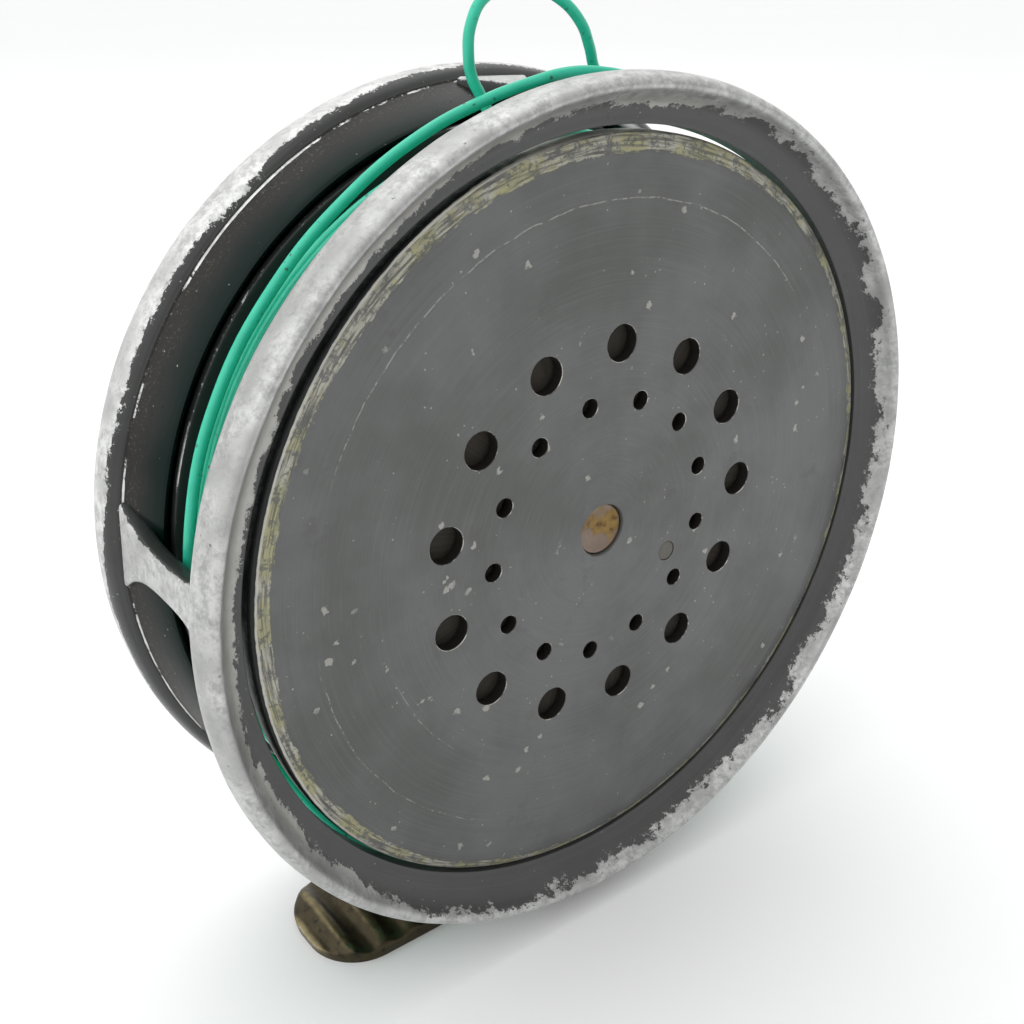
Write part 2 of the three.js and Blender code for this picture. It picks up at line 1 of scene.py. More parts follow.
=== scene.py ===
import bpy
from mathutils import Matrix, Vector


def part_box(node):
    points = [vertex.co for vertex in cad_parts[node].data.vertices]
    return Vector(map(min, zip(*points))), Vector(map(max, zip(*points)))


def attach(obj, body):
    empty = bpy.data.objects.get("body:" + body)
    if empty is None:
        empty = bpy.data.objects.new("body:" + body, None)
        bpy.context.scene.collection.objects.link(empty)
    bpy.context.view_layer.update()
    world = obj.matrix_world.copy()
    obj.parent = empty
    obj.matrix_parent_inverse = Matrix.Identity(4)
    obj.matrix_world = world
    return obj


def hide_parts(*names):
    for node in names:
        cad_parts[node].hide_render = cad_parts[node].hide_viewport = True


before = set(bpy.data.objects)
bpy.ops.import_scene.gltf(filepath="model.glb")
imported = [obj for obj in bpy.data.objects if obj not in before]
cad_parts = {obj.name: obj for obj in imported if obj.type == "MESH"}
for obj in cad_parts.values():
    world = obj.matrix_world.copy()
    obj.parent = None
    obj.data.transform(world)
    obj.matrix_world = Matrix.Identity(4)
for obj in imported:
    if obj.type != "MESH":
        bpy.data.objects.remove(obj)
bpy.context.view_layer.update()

import math

import bpy
from mathutils import Matrix, Vector, noise
from mathutils.geometry import delaunay_2d_cdt

# ---- the camera ----------------------------------------------------------------------------------------
# The camera has a normal lens. It stands close to the reel, a little above it and to its left, and looks
# down at the open side of the drum.

camera_data = bpy.data.cameras.new("camera")
camera_data.lens = 42.2
camera_data.sensor_width = 36
camera_data.clip_start = 0.005
camera = bpy.data.objects.new("camera", camera_data)
camera.location = (-0.07926, -0.10219, 0.10842)
camera.rotation_euler = (math.radians(64.9), 0, math.radians(-37.11))
bpy.context.scene.collection.objects.link(camera)
bpy.context.scene.camera = camera
bpy.context.scene.view_settings.view_transform = "Standard"

# ---- the loose fly line --------------------------------------------------------------------------------
# A weight-6 fly line is a braided core in a smooth, soft green plastic coat. Its last turns have sprung slack
# on the drum: two lie on the winding, and the third stands off it and throws a loop up over the top pillar.

MM = 0.001
face_low, face_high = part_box("drum_front_flange")
FACE_Y = face_low.y  # the drum's open face, from which depths are measured
AXIS_Z = (face_low.z + face_high.z) / 2

LINE_DIAMETER = 1.15
SLACK_RADIUS = 40.4
SLACK_DEPTHS = (14.35, 13.05)
TURN_POINTS = 48
SLACK_TURNS = 2.05
SLACK_START = 2.22  # turns before the route begins

LOOSE_ROUTE = [  # degrees about the axis, radius, depth
    (262, 41.6, 11.4),
    (253, 42.1, 10),
    (245, 43, 8),
    (236, 43.6, 6.8),
    (228, 43.8, 6.6),
    (221, 43.2, 7.8),
    (214, 42.5, 9.8),
    (207, 41.9, 11.3),
    (198, 42.3, 12.4),
    (184, 42.2, 12.6),
    (168, 42.2, 12.6),
    (152, 42.3, 12.6),
    (136, 42.5, 12.4),
    (122, 43.1, 12),
    (110, 44.2, 11.2),
    (101, 45.2, 10),
    (94, 46.1, 8.8),
    (89.5, 46.7, 8),
    (85, 46.8, 7.2),
    (79, 46.4, 6.7),
    (73.8, 45.8, 7.5),
    (71.3, 45.3, 9.8),
    (72.6, 45.2, 12.1),
    (76.3, 45.7, 13.2),
    (79.6, 47, 13.2),
    (81.4, 49.1, 12.9),
    (83.4, 51.2, 12.6),
    (87, 53.4, 12.6),
    (91.8, 54.7, 12.6),
    (96.6, 53.9, 12.6),
    (98.7, 51.8, 12.6),
    (99.5, 49.2, 12.7),
    (99.4, 47, 12.8),
    (98.6, 45, 12.6),
    (98.2, 43, 12.1),
    (99.4, 41.4, 11.5),
    (103, 40.6, 11.1),
    (109, 40.35, 11),
]


def around(degrees, radius, depth):
    """The place in metres at an angle, a radius and a depth behind the open face, in millimetres."""
    turn = math.radians(degrees)
    x, z = radius * MM * math.cos(turn), radius * MM * math.sin(turn)
    return Vector((x, FACE_Y + depth * MM, AXIS_Z + z))


class Finish:
    """A material, with short calls for the nodes that make it. Lengths in it are millimetres."""

    def __init__(self, name, **sockets):
        self.material = bpy.data.materials.new(name)
        self.material.use_nodes = True
        self.tree = self.material.node_tree
        self.shader = self.tree.nodes["Principled BSDF"]
        for socket, value in sockets.items():
            self.set(socket.replace("_", " "), value)
        place = self.node("ShaderNodeTexCoord").outputs["Object"]
        middle = self.vector("SUBTRACT", place, (0, FACE_Y, AXIS_Z))
        self.place = self.vector("SCALE", middle, scale=1 / MM)

    def node(self, kind, **settings):
        made = self.tree.nodes.new(kind)
        for key, value in settings.items():
            setattr(made, key, value)
        return made

    def join(self, value, socket):
        if isinstance(value, bpy.types.NodeSocket):
            self.tree.links.new(value, socket)
        elif value is not None:
            socket.default_value = value

    def set(self, socket, value):
        self.join(value, self.shader.inputs[socket])

    def vector(self, operation, a, b=None, scale=None):
        made = self.node("ShaderNodeVectorMath", operation=operation)
        self.join(a, made.inputs[0])
        self.join(b, made.inputs[1])
        if scale is not None:
            self.join(scale, made.inputs["Scale"])
        return made.outputs["Value" if operation == "LENGTH" else "Vector"]

    def math(self, operation, a, b=None):
        made = self.node("ShaderNodeMath", operation=operation)
        self.join(a, made.inputs[0])
        self.join(b, made.inputs[1])
        return made.outputs[0]

    def times(self, a, b):
        return self.math("MULTIPLY", a, b)

    def plus(self, a, b):
        return self.math("ADD", a, b)

    def minus(self, a, b):
        return self.math("SUBTRACT", a, b)

    def split(self, vector):
        made = self.node("ShaderNodeSeparateXYZ")
        self.join(vector, made.inputs[0])
        return made.outputs

    def combine(self, x, y, z):
        made = self.node("ShaderNodeCombineXYZ")
        for value, socket in zip((x, y, z), made.inputs):
            self.join(value, socket)
        return made.outputs[0]

    def polar(self):
        """The radius from the reel's axis, the depth behind the open face, and the angle in radians."""
        x, y, z = self.split(self.place)
        radius = self.vector("LENGTH", self.combine(x, 0.0, z))
        return radius, y, self.math("ARCTAN2", z, x)

    def noise(self, scale, detail=3.0, roughness=0.5, at=None, stretch=None):
        made = self.node("ShaderNodeTexNoise")
        made.inputs["Scale"].default_value = scale
        made.inputs["Detail"].default_value = detail
        made.inputs["Roughness"].default_value = roughness
        at = self.place if at is None else at
        self.join(at if stretch is None else self.vector("MULTIPLY", at, stretch), made.inputs["Vector"])
        return made.outputs["Fac"]

    def wander(self, reach, *grain, **where):
        """Noise about zero, as wide as reach from one extreme to the other."""
        return self.times(self.minus(self.noise(*grain, **where), 0.5), reach)

    def flecks(self, scale, size):
        """1 in small scattered spots with uneven edges, 0 between them."""
        pull = self.node("ShaderNodeTexNoise")
        pull.inputs["Scale"].default_value = scale * 6
        pull.inputs["Detail"].default_value = 3
        self.join(self.place, pull.inputs["Vector"])
        pulled = self.vector("SCALE", pull.outputs["Color"], scale=0.35 / scale)
        made = self.node("ShaderNodeTexVoronoi", feature="F1")
        made.inputs["Scale"].default_value = scale
        self.join(self.vector("ADD", self.place, pulled), made.inputs["Vector"])
        return self.ramp(made.outputs["Distance"], size, size * 0.7)

    def ramp(self, value, low, high, to_low=0.0, to_high=1.0):
        made = self.node("ShaderNodeMapRange", interpolation_type="SMOOTHSTEP")
        for number, socket in zip((value, low, high, to_low, to_high), made.inputs):
            self.join(number, socket)
        return made.outputs[0]

    def mix(self, share, a, b):
        """A colour between two colours."""
        made = self.node("ShaderNodeMix", data_type="RGBA")
        self.join(share, made.inputs["Factor"])
        for value, socket in ((a, made.inputs[6]), (b, made.inputs[7])):
            self.join((*value, 1) if isinstance(value, tuple) else value, socket)
        return made.outputs[2]

    def attribute(self, name):
        return self.node("ShaderNodeAttribute", attribute_name=name).outputs["Fac"]

    def bump(self, height, distance, strength=1.0, under=None):
        made = self.node("ShaderNodeBump")
        made.inputs["Strength"].default_value = strength
        made.inputs["Distance"].default_value = distance * MM
        self.join(height, made.inputs["Height"])
        self.join(under, made.inputs["Normal"])
        return made.outputs["Normal"]


def line_finish(name, dirt):
    """The green coat: satin, a little milky, with tiny dark specks of dirt and a faint long ripple."""
    f = Finish(name, Roughness=0.36, Specular_IOR_Level=0.5)
    shade = f.noise(0.5, 2)
    clean = f.mix(shade, (0.012, 0.43, 0.27), (0.03, 0.56, 0.37))
    specks = f.times(f.flecks(0.9, 0.2), f.ramp(f.noise(0.25), 0.45, 0.6))
    soiled = f.mix(f.times(specks, dirt), clean, (0.02, 0.06, 0.04))
    f.set("Base Color", soiled)
    f.set("Normal", f.bump(f.noise(2.2, 3), 0.05, 0.35))
    return f.material


line_coat = line_finish("green_line_coat", 0.8)


def ease(share):
    return share * share * (3 - 2 * share)


slack_points = []
first_degrees = LOOSE_ROUTE[0][0]
start_degrees = first_degrees + SLACK_START * 360
steps = round(SLACK_TURNS * TURN_POINTS)
for step in range(steps):
    degrees = start_degrees - 360 * step / TURN_POINTS
    turned_by = step / TURN_POINTS
    crossing = ease(min(1, max(0, (turned_by - 0.8) / 0.3)))  # the step over to the second turn
    depth = SLACK_DEPTHS[0] + (SLACK_DEPTHS[1] - SLACK_DEPTHS[0]) * crossing
    slack_points.append(around(degrees, SLACK_RADIUS, depth))
line_points = slack_points + [around(*point) for point in LOOSE_ROUTE]

line_curve = bpy.data.curves.new("loose_line", "CURVE")
line_curve.dimensions = "3D"
line_curve.bevel_depth = LINE_DIAMETER / 2 * MM
line_curve.bevel_resolution = 4
line_curve.resolution_u = 8
line_curve.use_fill_caps = True
spline = line_curve.splines.new("BEZIER")
spline.bezier_points.add(len(line_points) - 1)
for knot, place in zip(spline.bezier_points, line_points):
    knot.co = place
    knot.handle_left_type = knot.handle_right_type = "AUTO"
line_curve.materials.append(line_coat)
loose_line = bpy.data.objects.new("loose_line", line_curve)
bpy.context.scene.collection.objects.link(loose_line)
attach(loose_line, "frame")
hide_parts("loose_line_turns", "loose_line_loop")

# ---- the cage's front rim ------------------------------------------------------------------------------
# The cage is a light-alloy casting, turned all over and stained dark grey. The front rim is a cove that rises
# to a rolled bead. Years of handling have rubbed the bead down to bare metal, with ragged edges to the stain.

ROUND = 288  # points round the large rims


def flow(points, steps=4):
    """A smooth line through points, with corners only at its two ends."""
    line = []
    ends = [points[0], *points, points[-1]]
    for a, b, c, d in zip(ends, ends[1:], ends[2:], ends[3:]):
        for step in range(steps):
            t = step / steps
            line.append(tuple(
                (2 * q + (r - p) * t + (2 * p - 5 * q + 4 * r - s) * t * t
                 + (3 * q - p - 3 * r + s) * t ** 3) / 2
                for p, q, r, s in zip(a, b, c, d)
            ))
    return line + [points[-1]]


def place_mesh(name, points, faces, material, sharp=38, wear=None):
    """A piece from points in metres and faces, smooth but for corners over that many degrees."""
    mesh = bpy.data.meshes.new(name)
    mesh.from_pydata(points, [], faces)
    mesh.validate()
    mesh.shade_smooth()
    mesh.set_sharp_from_angle(angle=math.radians(sharp))
    if wear:
        layer = mesh.attributes.new("wear", "FLOAT", "POINT")
        layer.data.foreach_set("value", wear)
    mesh.materials.append(material)
    piece = bpy.data.objects.new(name, mesh)
    bpy.context.scene.collection.objects.link(piece)
    return piece


def turned(name, outline, material, segments=96, closed=True, sharp=38, wear=None, dent=0):
    """A piece turned on the lathe from an outline of (radius, depth). An open outline runs from axis to
    axis. wear(radius, depth, degrees) says how rubbed each point is, and dent is the depth of its dents."""
    points, faces, worn, rows = [], [], [], []
    for radius, depth in outline:
        count = segments if radius > 1e-6 else 1
        rows.append(range(len(points), len(points) + count))
        for i in range(count):
            degrees = 360 * i / count
            knock = dent * noise.noise(around(degrees, radius, depth) * 160) if dent else 0
            points.append(around(degrees, radius + knock, depth))
            worn.append(wear(radius, depth, degrees) if wear else 0.0)
    pairs = list(zip(rows, rows[1:])) + ([(rows[-1], rows[0])] if closed else [])
    for a, b in pairs:
        for i in range(segments):
            j = (i + 1) % segments
            corners = [a[i % len(a)], a[j % len(a)], b[j % len(b)], b[i % len(b)]]
            corners = list(dict.fromkeys(corners))
            if len(corners) > 2:
                faces.append(corners)
    return place_mesh(name, points, faces, material, sharp, worn if wear else None)


def tone(colour, by):
    """A colour made darker or lighter."""
    return tuple(by * c for c in colour)


def stained_alloy(
    name,
    stain=(0.052, 0.053, 0.052),
    bare=(0.5, 0.505, 0.495),
    ragged=0.6,
    shine=0.5,
    gloss=(0.36, 0.46),
    tarnished=None,
    shading=None,
):
    """Dark grey stain over light alloy, rubbed to bare metal where the piece's wear is high. The bare metal
    has dulled inside the radius in tarnished. shading may change the stain's colour, from the finish, the
    colour, and the radius and depth."""
    f = Finish(name)
    radius, depth, turn = f.polar()
    about = f.combine(f.times(radius, 5.0), f.times(turn, 1.5), depth)
    rings = f.noise(1.0, 3, at=about)
    along = f.combine(f.times(radius, 1.1), f.times(turn, 22.0), f.times(depth, 1.1))
    frayed = f.wander(ragged * 2.4, 0.42, 8, 0.72)
    fringe = f.wander(ragged, 1.0, 5, 0.7, at=along)
    worn = f.plus(f.attribute("wear"), f.plus(frayed, fringe))
    rubbed = f.ramp(worn, 0.49, 0.52)
    spots = f.noise(1.3, 6, 0.75)
    islands = f.times(f.ramp(spots, 0.57, 0.6), f.ramp(worn, 0.3, 0.44))
    left_over = f.times(f.ramp(spots, 0.44, 0.41), f.ramp(worn, 0.68, 0.56))
    pits = f.times(f.flecks(0.8, 0.12), f.ramp(f.noise(0.25, 3), 0.52, 0.6))
    stains = f.math("MAXIMUM", left_over, f.times(pits, 0.8))
    kept = f.minus(1.0, f.times(stains, 0.85))
    bare_share = f.times(f.math("MAXIMUM", rubbed, islands), kept)

    mottled = f.mix(f.noise(0.15, 5, 0.65), tone(stain, 0.8), tone(stain, 1.25))
    ringed = f.mix(f.ramp(rings, 0.5, 0.8, 0, 0.5), mottled, tone(stain, 1.5))
    if shading:
        ringed = shading(f, ringed, radius, depth)
    dust = f.times(f.flecks(1.1, 0.1), f.ramp(f.noise(0.35, 3), 0.52, 0.62))
    dark = f.mix(dust, ringed, (0.34, 0.33, 0.28))
    metal = f.mix(f.ramp(f.noise(0.8, 6, 0.78), 0.35, 0.65), tone(bare, 0.68), tone(bare, 1.15))
    metal = f.mix(f.ramp(f.noise(0.2, 5, 0.65), 0.48, 0.66, 0, 0.7), metal, tone(bare, 0.62))
    if tarnished:
        metal = f.mix(f.ramp(radius, tarnished, tarnished - 0.9, 0, 0.8), metal, (0.38, 0.375, 0.35))
    f.set("Base Color", f.mix(bare_share, dark, metal))
    f.set("Metallic", f.ramp(bare_share, 0, 1, 0.1, 0.85))
    f.set("Specular IOR Level", shine)
    worn_rough = f.ramp(f.noise(1.5, 4), 0.3, 0.7, 0.4, 0.54)
    stain_rough = f.ramp(rings, 0.3, 0.7, *gloss)
    share = f.node("ShaderNodeMix", data_type="FLOAT")
    f.join(bare_share, share.inputs["Factor"])
    f.join(stain_rough, share.inputs[2])
    f.join(worn_rough, share.inputs[3])
    f.set("Roughness", share.outputs[0])
    step_down = f.bump(bare_share, -0.04, 0.6)
    grain = f.bump(f.plus(f.noise(3, 5, 0.6), f.times(rings, 0.6)), 0.025, 0.4, step_down)
    f.set("Normal", f.bump(pits, -0.1, 0.6, grain))
    return f.material


cage_stain = stained_alloy("stained_cage_alloy", tarnished=45.6)


def patchy(degrees, seed, coarse=6.0):
    """A slow, even wander between about -1 and 1 as one goes round the reel."""
    turn = math.radians(degrees)
    return 2 * noise.noise(Vector((coarse * math.cos(turn), coarse * math.sin(turn), seed)))


def bell(degrees, middle, width):
    """1 at one place round the reel, falling smoothly to 0 away from it."""
    away = (degrees - middle + 180) % 360 - 180
    return math.exp(-((away / width) ** 2))


BEAD_CREST = 46.3  # outside this radius the bead is bare all round
BARE_TO = 45.3  # how far in the bare metal reaches before it wanders


def rim_wear(radius, depth, degrees):
    """The bead is bare. Inside its crest the bare band ends in the cove, deepest on the left, and wanders."""
    if radius > BEAD_CREST:
        return 1.0 if depth < 1.9 else max(0.0, (2.6 - depth) / 0.7)
    limit = BARE_TO - 2.1 * bell(degrees, 155, 55) + 0.45 * bell(degrees, 250, 40)
    limit += 0.4 * patchy(degrees, 3.1, 3.0) + 0.25 * patchy(degrees, 9.4, 9.0)
    if depth > 1:
        return 0.0
    return max(0.0, min(1.0, 0.5 + (radius - limit) / 2.2))


front_rim_outline = [(42.6, 0.35), (42.75, 0.2)] + flow([
    (43.1, 0.14),
    (43.7, 0),
    (44.4, -0.42),
    (44.95, -0.98),
    (45.5, -1.85),
    (45.9, -2.75),
    (46.18, -3.16),
    (46.5, -3.3),
    (46.85, -3.14),
    (47.2, -2.68),
    (47.48, -1.8),
    (47.6, -0.8),
    (47.45, 0.35),
    (46.95, 1.4),
    (46.1, 2.15),
    (44.9, 2.55),
]) + [(43, 2.6), (42.75, 2.56), (42.6, 2.4)]
front_rim = turned(
    "front_rim", front_rim_outline, cage_stain, ROUND, wear=rim_wear, dent=0.05
)
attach(front_rim, "frame")
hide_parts("cage_front_rim")

# ---- the cage's back -----------------------------------------------------------------------------------
# The back is the other end of the same casting. Its inner lip flares out to a fine ridge and a second bead,
# and a solid plate closes it. The bead and the ridge are rubbed bright. The slope keeps its stain, with
# painted shade and a painted reflection of the green line darkening it to green-black near its lip.


def back_wear(radius, depth, degrees):
    """The bead is bare from its front face over to the back, and the ridge in front of it is rubbed thin."""
    if radius < 42.4:
        return 0.1
    if depth < 22.15:
        return 0.16 * max(0.0, min(1.0, radius - 44.0))
    if depth < 22.33 and radius < 45.2:
        return 0.56 + 0.3 * patchy(degrees, 4.4, 9)
    if depth < 22.5 and radius < 45.5:
        return 0.2
    if radius < 43.6:
        return 0.1
    limit = 23.9 - 0.9 * bell(degrees, 135, 30) + 0.9 * bell(degrees, 210, 40)
    limit += 0.35 * patchy(degrees, 8.7, 4.0)
    return max(0.0, min(1.0, 0.5 + (depth - limit) / 2.0))


def slope_shade_and_dust(f, colour, radius, depth):
    """The flare's stain is painted green-black near its lip, as shade and as a reflection of the green line,
    and is dusty brown-grey with specks near the ridge.
    """
    rise = f.plus(radius, f.times(f.noise(0.25, 4), 0.9))
    # painted shade and reflection: near the lip the colour is green-black, as shade inside the cage and the
    # green line seen in the slope
    lower = f.mix(f.ramp(rise, 43.6, 45.2), (0.002, 0.01, 0.008), (0.024, 0.023, 0.021))
    speckle = f.ramp(f.noise(3.2, 5, 0.75), 0.56, 0.66)
    upper = f.times(speckle, f.ramp(rise, 44.2, 45.6, 0, 0.6))
    slope = f.mix(upper, lower, (0.17, 0.155, 0.12))
    return f.mix(f.ramp(depth, 22.3, 22.6), slope, colour)


back_outline = [(42.6, 17.62), (42.72, 17.52)] + flow([
    (42.95, 17.75),
    (43.3, 18.35),
    (43.75, 19.3),
    (44.3, 20.55),
    (44.8, 21.65),
    (45.06, 22.15),
]) + flow([(45.12, 22.3), (45.22, 22.36), (45.32, 22.42)], 2) + flow([
    (45.42, 22.56),
    (45.75, 22.8),
    (46.15, 23.3),
    (46.5, 24.2),
    (46.6, 25.2),
    (46.5, 26.3),
    (46.2, 27.3),
    (45.8, 28.1),
    (45.4, 28.45),
    (45.0, 28.35),
    (44.6, 27.8),
    (44.1, 26.8),
    (43.5, 25.9),
    (42.9, 25.4),
]) + [(42.6, 25.3), (42.6, 24.3), (42.5, 24.2), (4.8, 24.2), (4.6, 24.0), (4.6, 22.4), (4.8, 22.2)] + flow([
    (40.6, 22.2),
    (41.3, 22.05),
    (41.8, 21.6),
    (42.05, 20.9),
    (42.1, 19.8),
]) + [(42.1, 18.1), (42.3, 17.75)]
# the slope's colour carries painted shade and a painted reflection of the green line
back_stain_and_shade = stained_alloy("stained_back_alloy_and_slope_shade", bare=(0.62, 0.625, 0.615), ragged=0.42, shine=0.15,
                           gloss=(0.16, 0.24), shading=slope_shade_and_dust)
back_plate = turned("back_plate", back_outline, back_stain_and_shade, ROUND, wear=back_wear, dent=0.04)
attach(back_plate, "frame")
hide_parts("cage_back_plate")

# ---- the pillars and the foot seat ---------------------------------------------------------------------
# Three flat bars and one broad seat join the rims, cast in one with them. Each widens in a fillet into the
# rims. Their outer faces have been handled bright, and their inner sides keep the stain.

PILLAR_OUTSIDE = 45.4
PILLAR_THICKNESS = 2.2
PILLAR_FRONT, PILLAR_BACK = 1.9, 22.0
PILLAR_WAIST, PILLAR_FLARE = 4.2, 2.6
SEAT_WIDTH, SEAT_FLARE = 25, 2
bar_stain = stained_alloy("stained_bar_alloy", stain=(0.014, 0.018, 0.016), ragged=0.35)


def pillar(name, degrees, waist, flare):
    """A bar from rim to rim, tangent to the cage: rounded boxes across it, wider at the ends."""
    turn = Matrix.Rotation(math.radians(90 - degrees), 4, "Y")
    points, faces, worn = [], [], []
    rings, corner = 41, 0.6
    for i in range(rings):
        share = i / (rings - 1)
        depth = PILLAR_FRONT + (PILLAR_BACK - PILLAR_FRONT) * share
        end = abs(2 * share - 1)
        half = waist / 2 + flare * end ** 3.2
        # the fillets also turn the bar's faces out towards the rims
        inner = PILLAR_OUTSIDE - PILLAR_THICKNESS - 0.25 * end ** 6
        outer = PILLAR_OUTSIDE - 0.12 * (1 - end ** 2)
        section = []
        for cx, cz, quarter in (
            (half - corner, outer - corner, 0),
            (-half + corner, outer - corner, 1),
            (-half + corner, inner + corner, 2),
            (half - corner, inner + corner, 3),
        ):
            for k in range(5):
                a = math.radians(90 * quarter + 22.5 * k)
                section.append((cx + corner * math.cos(a), cz + corner * math.sin(a)))
        for x, z in section:
            place = turn @ Vector((x * MM, 0, z * MM))
            points.append(place + Vector((0, FACE_Y + depth * MM, AXIS_Z)))
            face = max(0.0, (z - outer + 0.5) / 0.5)
            worn.append(0.12 + 0.75 * face if z > outer - 0.6 else 0.05)
    count = len(section)
    for i in range(rings - 1):
        for k in range(count):
            m = (k + 1) % count
            faces.append((i * count + k, (i + 1) * count + k, (i + 1) * count + m, i * count + m))
    faces.append(tuple(range(count)))
    faces.append(tuple(reversed(range((rings - 1) * count, rings * count))))
    piece = place_mesh(name, points, faces, bar_stain, wear=worn)
    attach(piece, "frame")
    return piece


for side, degrees in (("left", 176.2), ("top", 88), ("right", 5.2)):
    bar = pillar(f"pillar_{side}", degrees, PILLAR_WAIST, PILLAR_FLARE)
    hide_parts(f"cage_pillar_{side}")
seat = pillar("seat_bar", -90, SEAT_WIDTH, SEAT_FLARE)
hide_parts("foot_seat")

# ---- the foot ------------------------------------------------------------------------------------------
# The foot that slides under the rod's rings is a bronze casting, arched across, with rounded ribs over each
# toe. It is brown with age. The tops of the ribs are yellow, as rubbed bronze and as a painted highlight
# along their crests, and the rim of the toe is rubbed to grey.

FOOT_LENGTH, FOOT_WIDTH, FOOT_EDGE, FOOT_CORNER = 66.4, 15.6, 0.9, 6.6
RIB_PLACES = (22.4, 26.4, 30.4)
RIB_HALF = 1.85


def rib_share(x):
    """1 on the crest of a rib, rounding down to 0 in the valleys."""
    nearest = min(abs(abs(x) - rib) for rib in RIB_PLACES) / RIB_HALF
    return 0.5 + 0.5 * math.cos(math.pi * nearest) if nearest < 1 else 0.0


def foot_height(x):
    """How high the foot is along its middle, at x millimetres from its centre."""
    x = abs(x)
    saddle = 4.95
    toe = 3.6 - 0.07 * x
    height = saddle if x < 11 else toe
    if 11 <= x < 13.6:
        height = saddle + (toe - saddle) * ease((x - 11) / 2.6)
    return height + 0.85 * rib_share(x)


def foot_half_width(x):
    """Half the foot's width at x: straight sides with round corners."""
    past = abs(x) - (FOOT_LENGTH / 2 - FOOT_CORNER)
    if past <= 0:
        return FOOT_WIDTH / 2
    return FOOT_WIDTH / 2 - FOOT_CORNER + math.sqrt(max(0.0, FOOT_CORNER ** 2 - past ** 2))


def foot_bronze():
    """Brown patina over bronze. The rib crests are painted yellow, as rubbed bronze and as a painted
    highlight, and the toe's edge is rubbed grey.
    """
    f = Finish("brown_foot_bronze")
    patina = f.mix(f.noise(0.25, 4, 0.6), (0.03, 0.024, 0.013), (0.075, 0.06, 0.03))
    grime = f.mix(f.ramp(f.noise(0.8, 5, 0.7), 0.5, 0.72), patina, (0.016, 0.015, 0.011))
    rub = f.plus(f.attribute("wear"), f.wander(0.7, 0.7, 6, 0.68))
    rubbed = f.ramp(rub, 0.35, 0.95)
    # the yellow on the rib crests is partly rubbed bronze and partly a painted highlight
    polished_and_highlight = f.mix(f.ramp(rub, 0.9, 1.2), (0.24, 0.2, 0.11), (0.42, 0.42, 0.38))
    f.set("Base Color", f.mix(rubbed, grime, polished_and_highlight))
    f.set("Metallic", f.ramp(rubbed, 0, 1, 0.75, 1.0))
    f.set("Roughness", f.ramp(f.noise(1.2, 4), 0.3, 0.7, 0.28, 0.42))
    f.set("Normal", f.bump(f.noise(1.8, 5, 0.65), 0.08, 0.35))
    return f.material


def build_foot():
    long, wide, points, faces, worn = 200, 40, [], [], []
    for i in range(long + 1):
        x = -FOOT_LENGTH / 2 + FOOT_LENGTH * (0.5 - 0.5 * math.cos(math.pi * i / long))
        half = foot_half_width(x)
        top = foot_height(x)
        for k in range(wide + 1):
            turn = math.pi * k / wide
            y = -half * math.cos(turn)
            # flat in the middle, rolling down to a thin edge at the sides
            roll = math.sin(turn) ** 0.5
            toe_end = min(1.0, (FOOT_LENGTH / 2 - abs(x)) / 1.6)
            roll *= math.sqrt(max(0.0, 1 - (1 - toe_end) ** 2))
            z = FOOT_EDGE + max(0.0, top - FOOT_EDGE) * roll
            points.append((x * MM, y * MM, z * MM))
            lip = max(0.0, 1 - toe_end * 1.25)
            # the rib crests get high wear, which also places the painted highlight along them
            worn.append(min(1.0, 0.85 * rib_share(x) ** 2 * roll + 1.1 * lip))
    top_count = len(points)
    row = wide + 1
    for i in range(long + 1):
        x = points[i * row][0] / MM
        half = foot_half_width(x)
        for k in range(wide + 1):
            y = -half * math.cos(math.pi * k / wide)
            points.append((x * MM * 0.996, y * MM * 0.985, 0.0))
            worn.append(0.3)
    for i in range(long):
        for k in range(wide):
            a = i * row + k
            faces.append((a, a + row, a + row + 1, a + 1))
            b = top_count + a
            faces.append((b, b + 1, b + row + 1, b + row))
        for k in (0, wide):
            a = i * row + k
            side = (a, top_count + a, top_count + a + row, a + row)
            faces.append(side if k == 0 else side[::-1])
    for k in range(wide):
        a = k
        faces.append((a, a + 1, top_count + a + 1, top_count + a))
        b = long * row + k
        faces.append((b, top_count + b, top_count + b + 1, b + 1))
    return place_mesh("foot_casting", points, faces, foot_bronze(), 32, worn)


def cut_with(piece, cutters):
    """Cuts solids out of a piece and throws them away."""
    for cutter in cutters:
        modifier = piece.modifiers.new("cut", "BOOLEAN")
        modifier.operation = "DIFFERENCE"
        modifier.solver = "EXACT"
        modifier.object = cutter
        graph = bpy.context.evaluated_depsgraph_get()
        mesh = bpy.data.meshes.new_from_object(piece.evaluated_get(graph))
        piece.modifiers.clear()
        piece.data = mesh
        bpy.data.objects.remove(cutter)


FOOT_SCREW_X = 8.0


def upright_cone(x, radius_low, radius_high, low, high, count=40):
    """A closed round cutter that stands on the underside of the foot."""
    points, faces = [], []
    for radius, z in ((radius_low, low), (radius_high, high)):
        for i in range(count):
            a = 2 * math.pi * i / count
            points.append(((x + radius * math.cos(a)) * MM, radius * math.sin(a) * MM, z * MM))
    for i in range(count):
        j = (i + 1) % count
        faces.append((i, j, count + j, count + i))
    faces.append(tuple(reversed(range(count))))
    faces.append(tuple(range(count, 2 * count)))
    mesh = bpy.data.meshes.new("cutter")
    mesh.from_pydata(points, [], faces)
    cutter = bpy.data.objects.new("cutter", mesh)
    bpy.context.scene.collection.objects.link(cutter)
    return cutter


foot = build_foot()
for x in (-FOOT_SCREW_X, FOOT_SCREW_X):
    countersink = upright_cone(x, 2.75, 2.45, -0.5, 1.5)
    shank_hole = upright_cone(x, 1.45, 1.45, 1, 8)
    cut_with(foot, [countersink, shank_hole])
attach(foot, "frame")
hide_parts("foot")

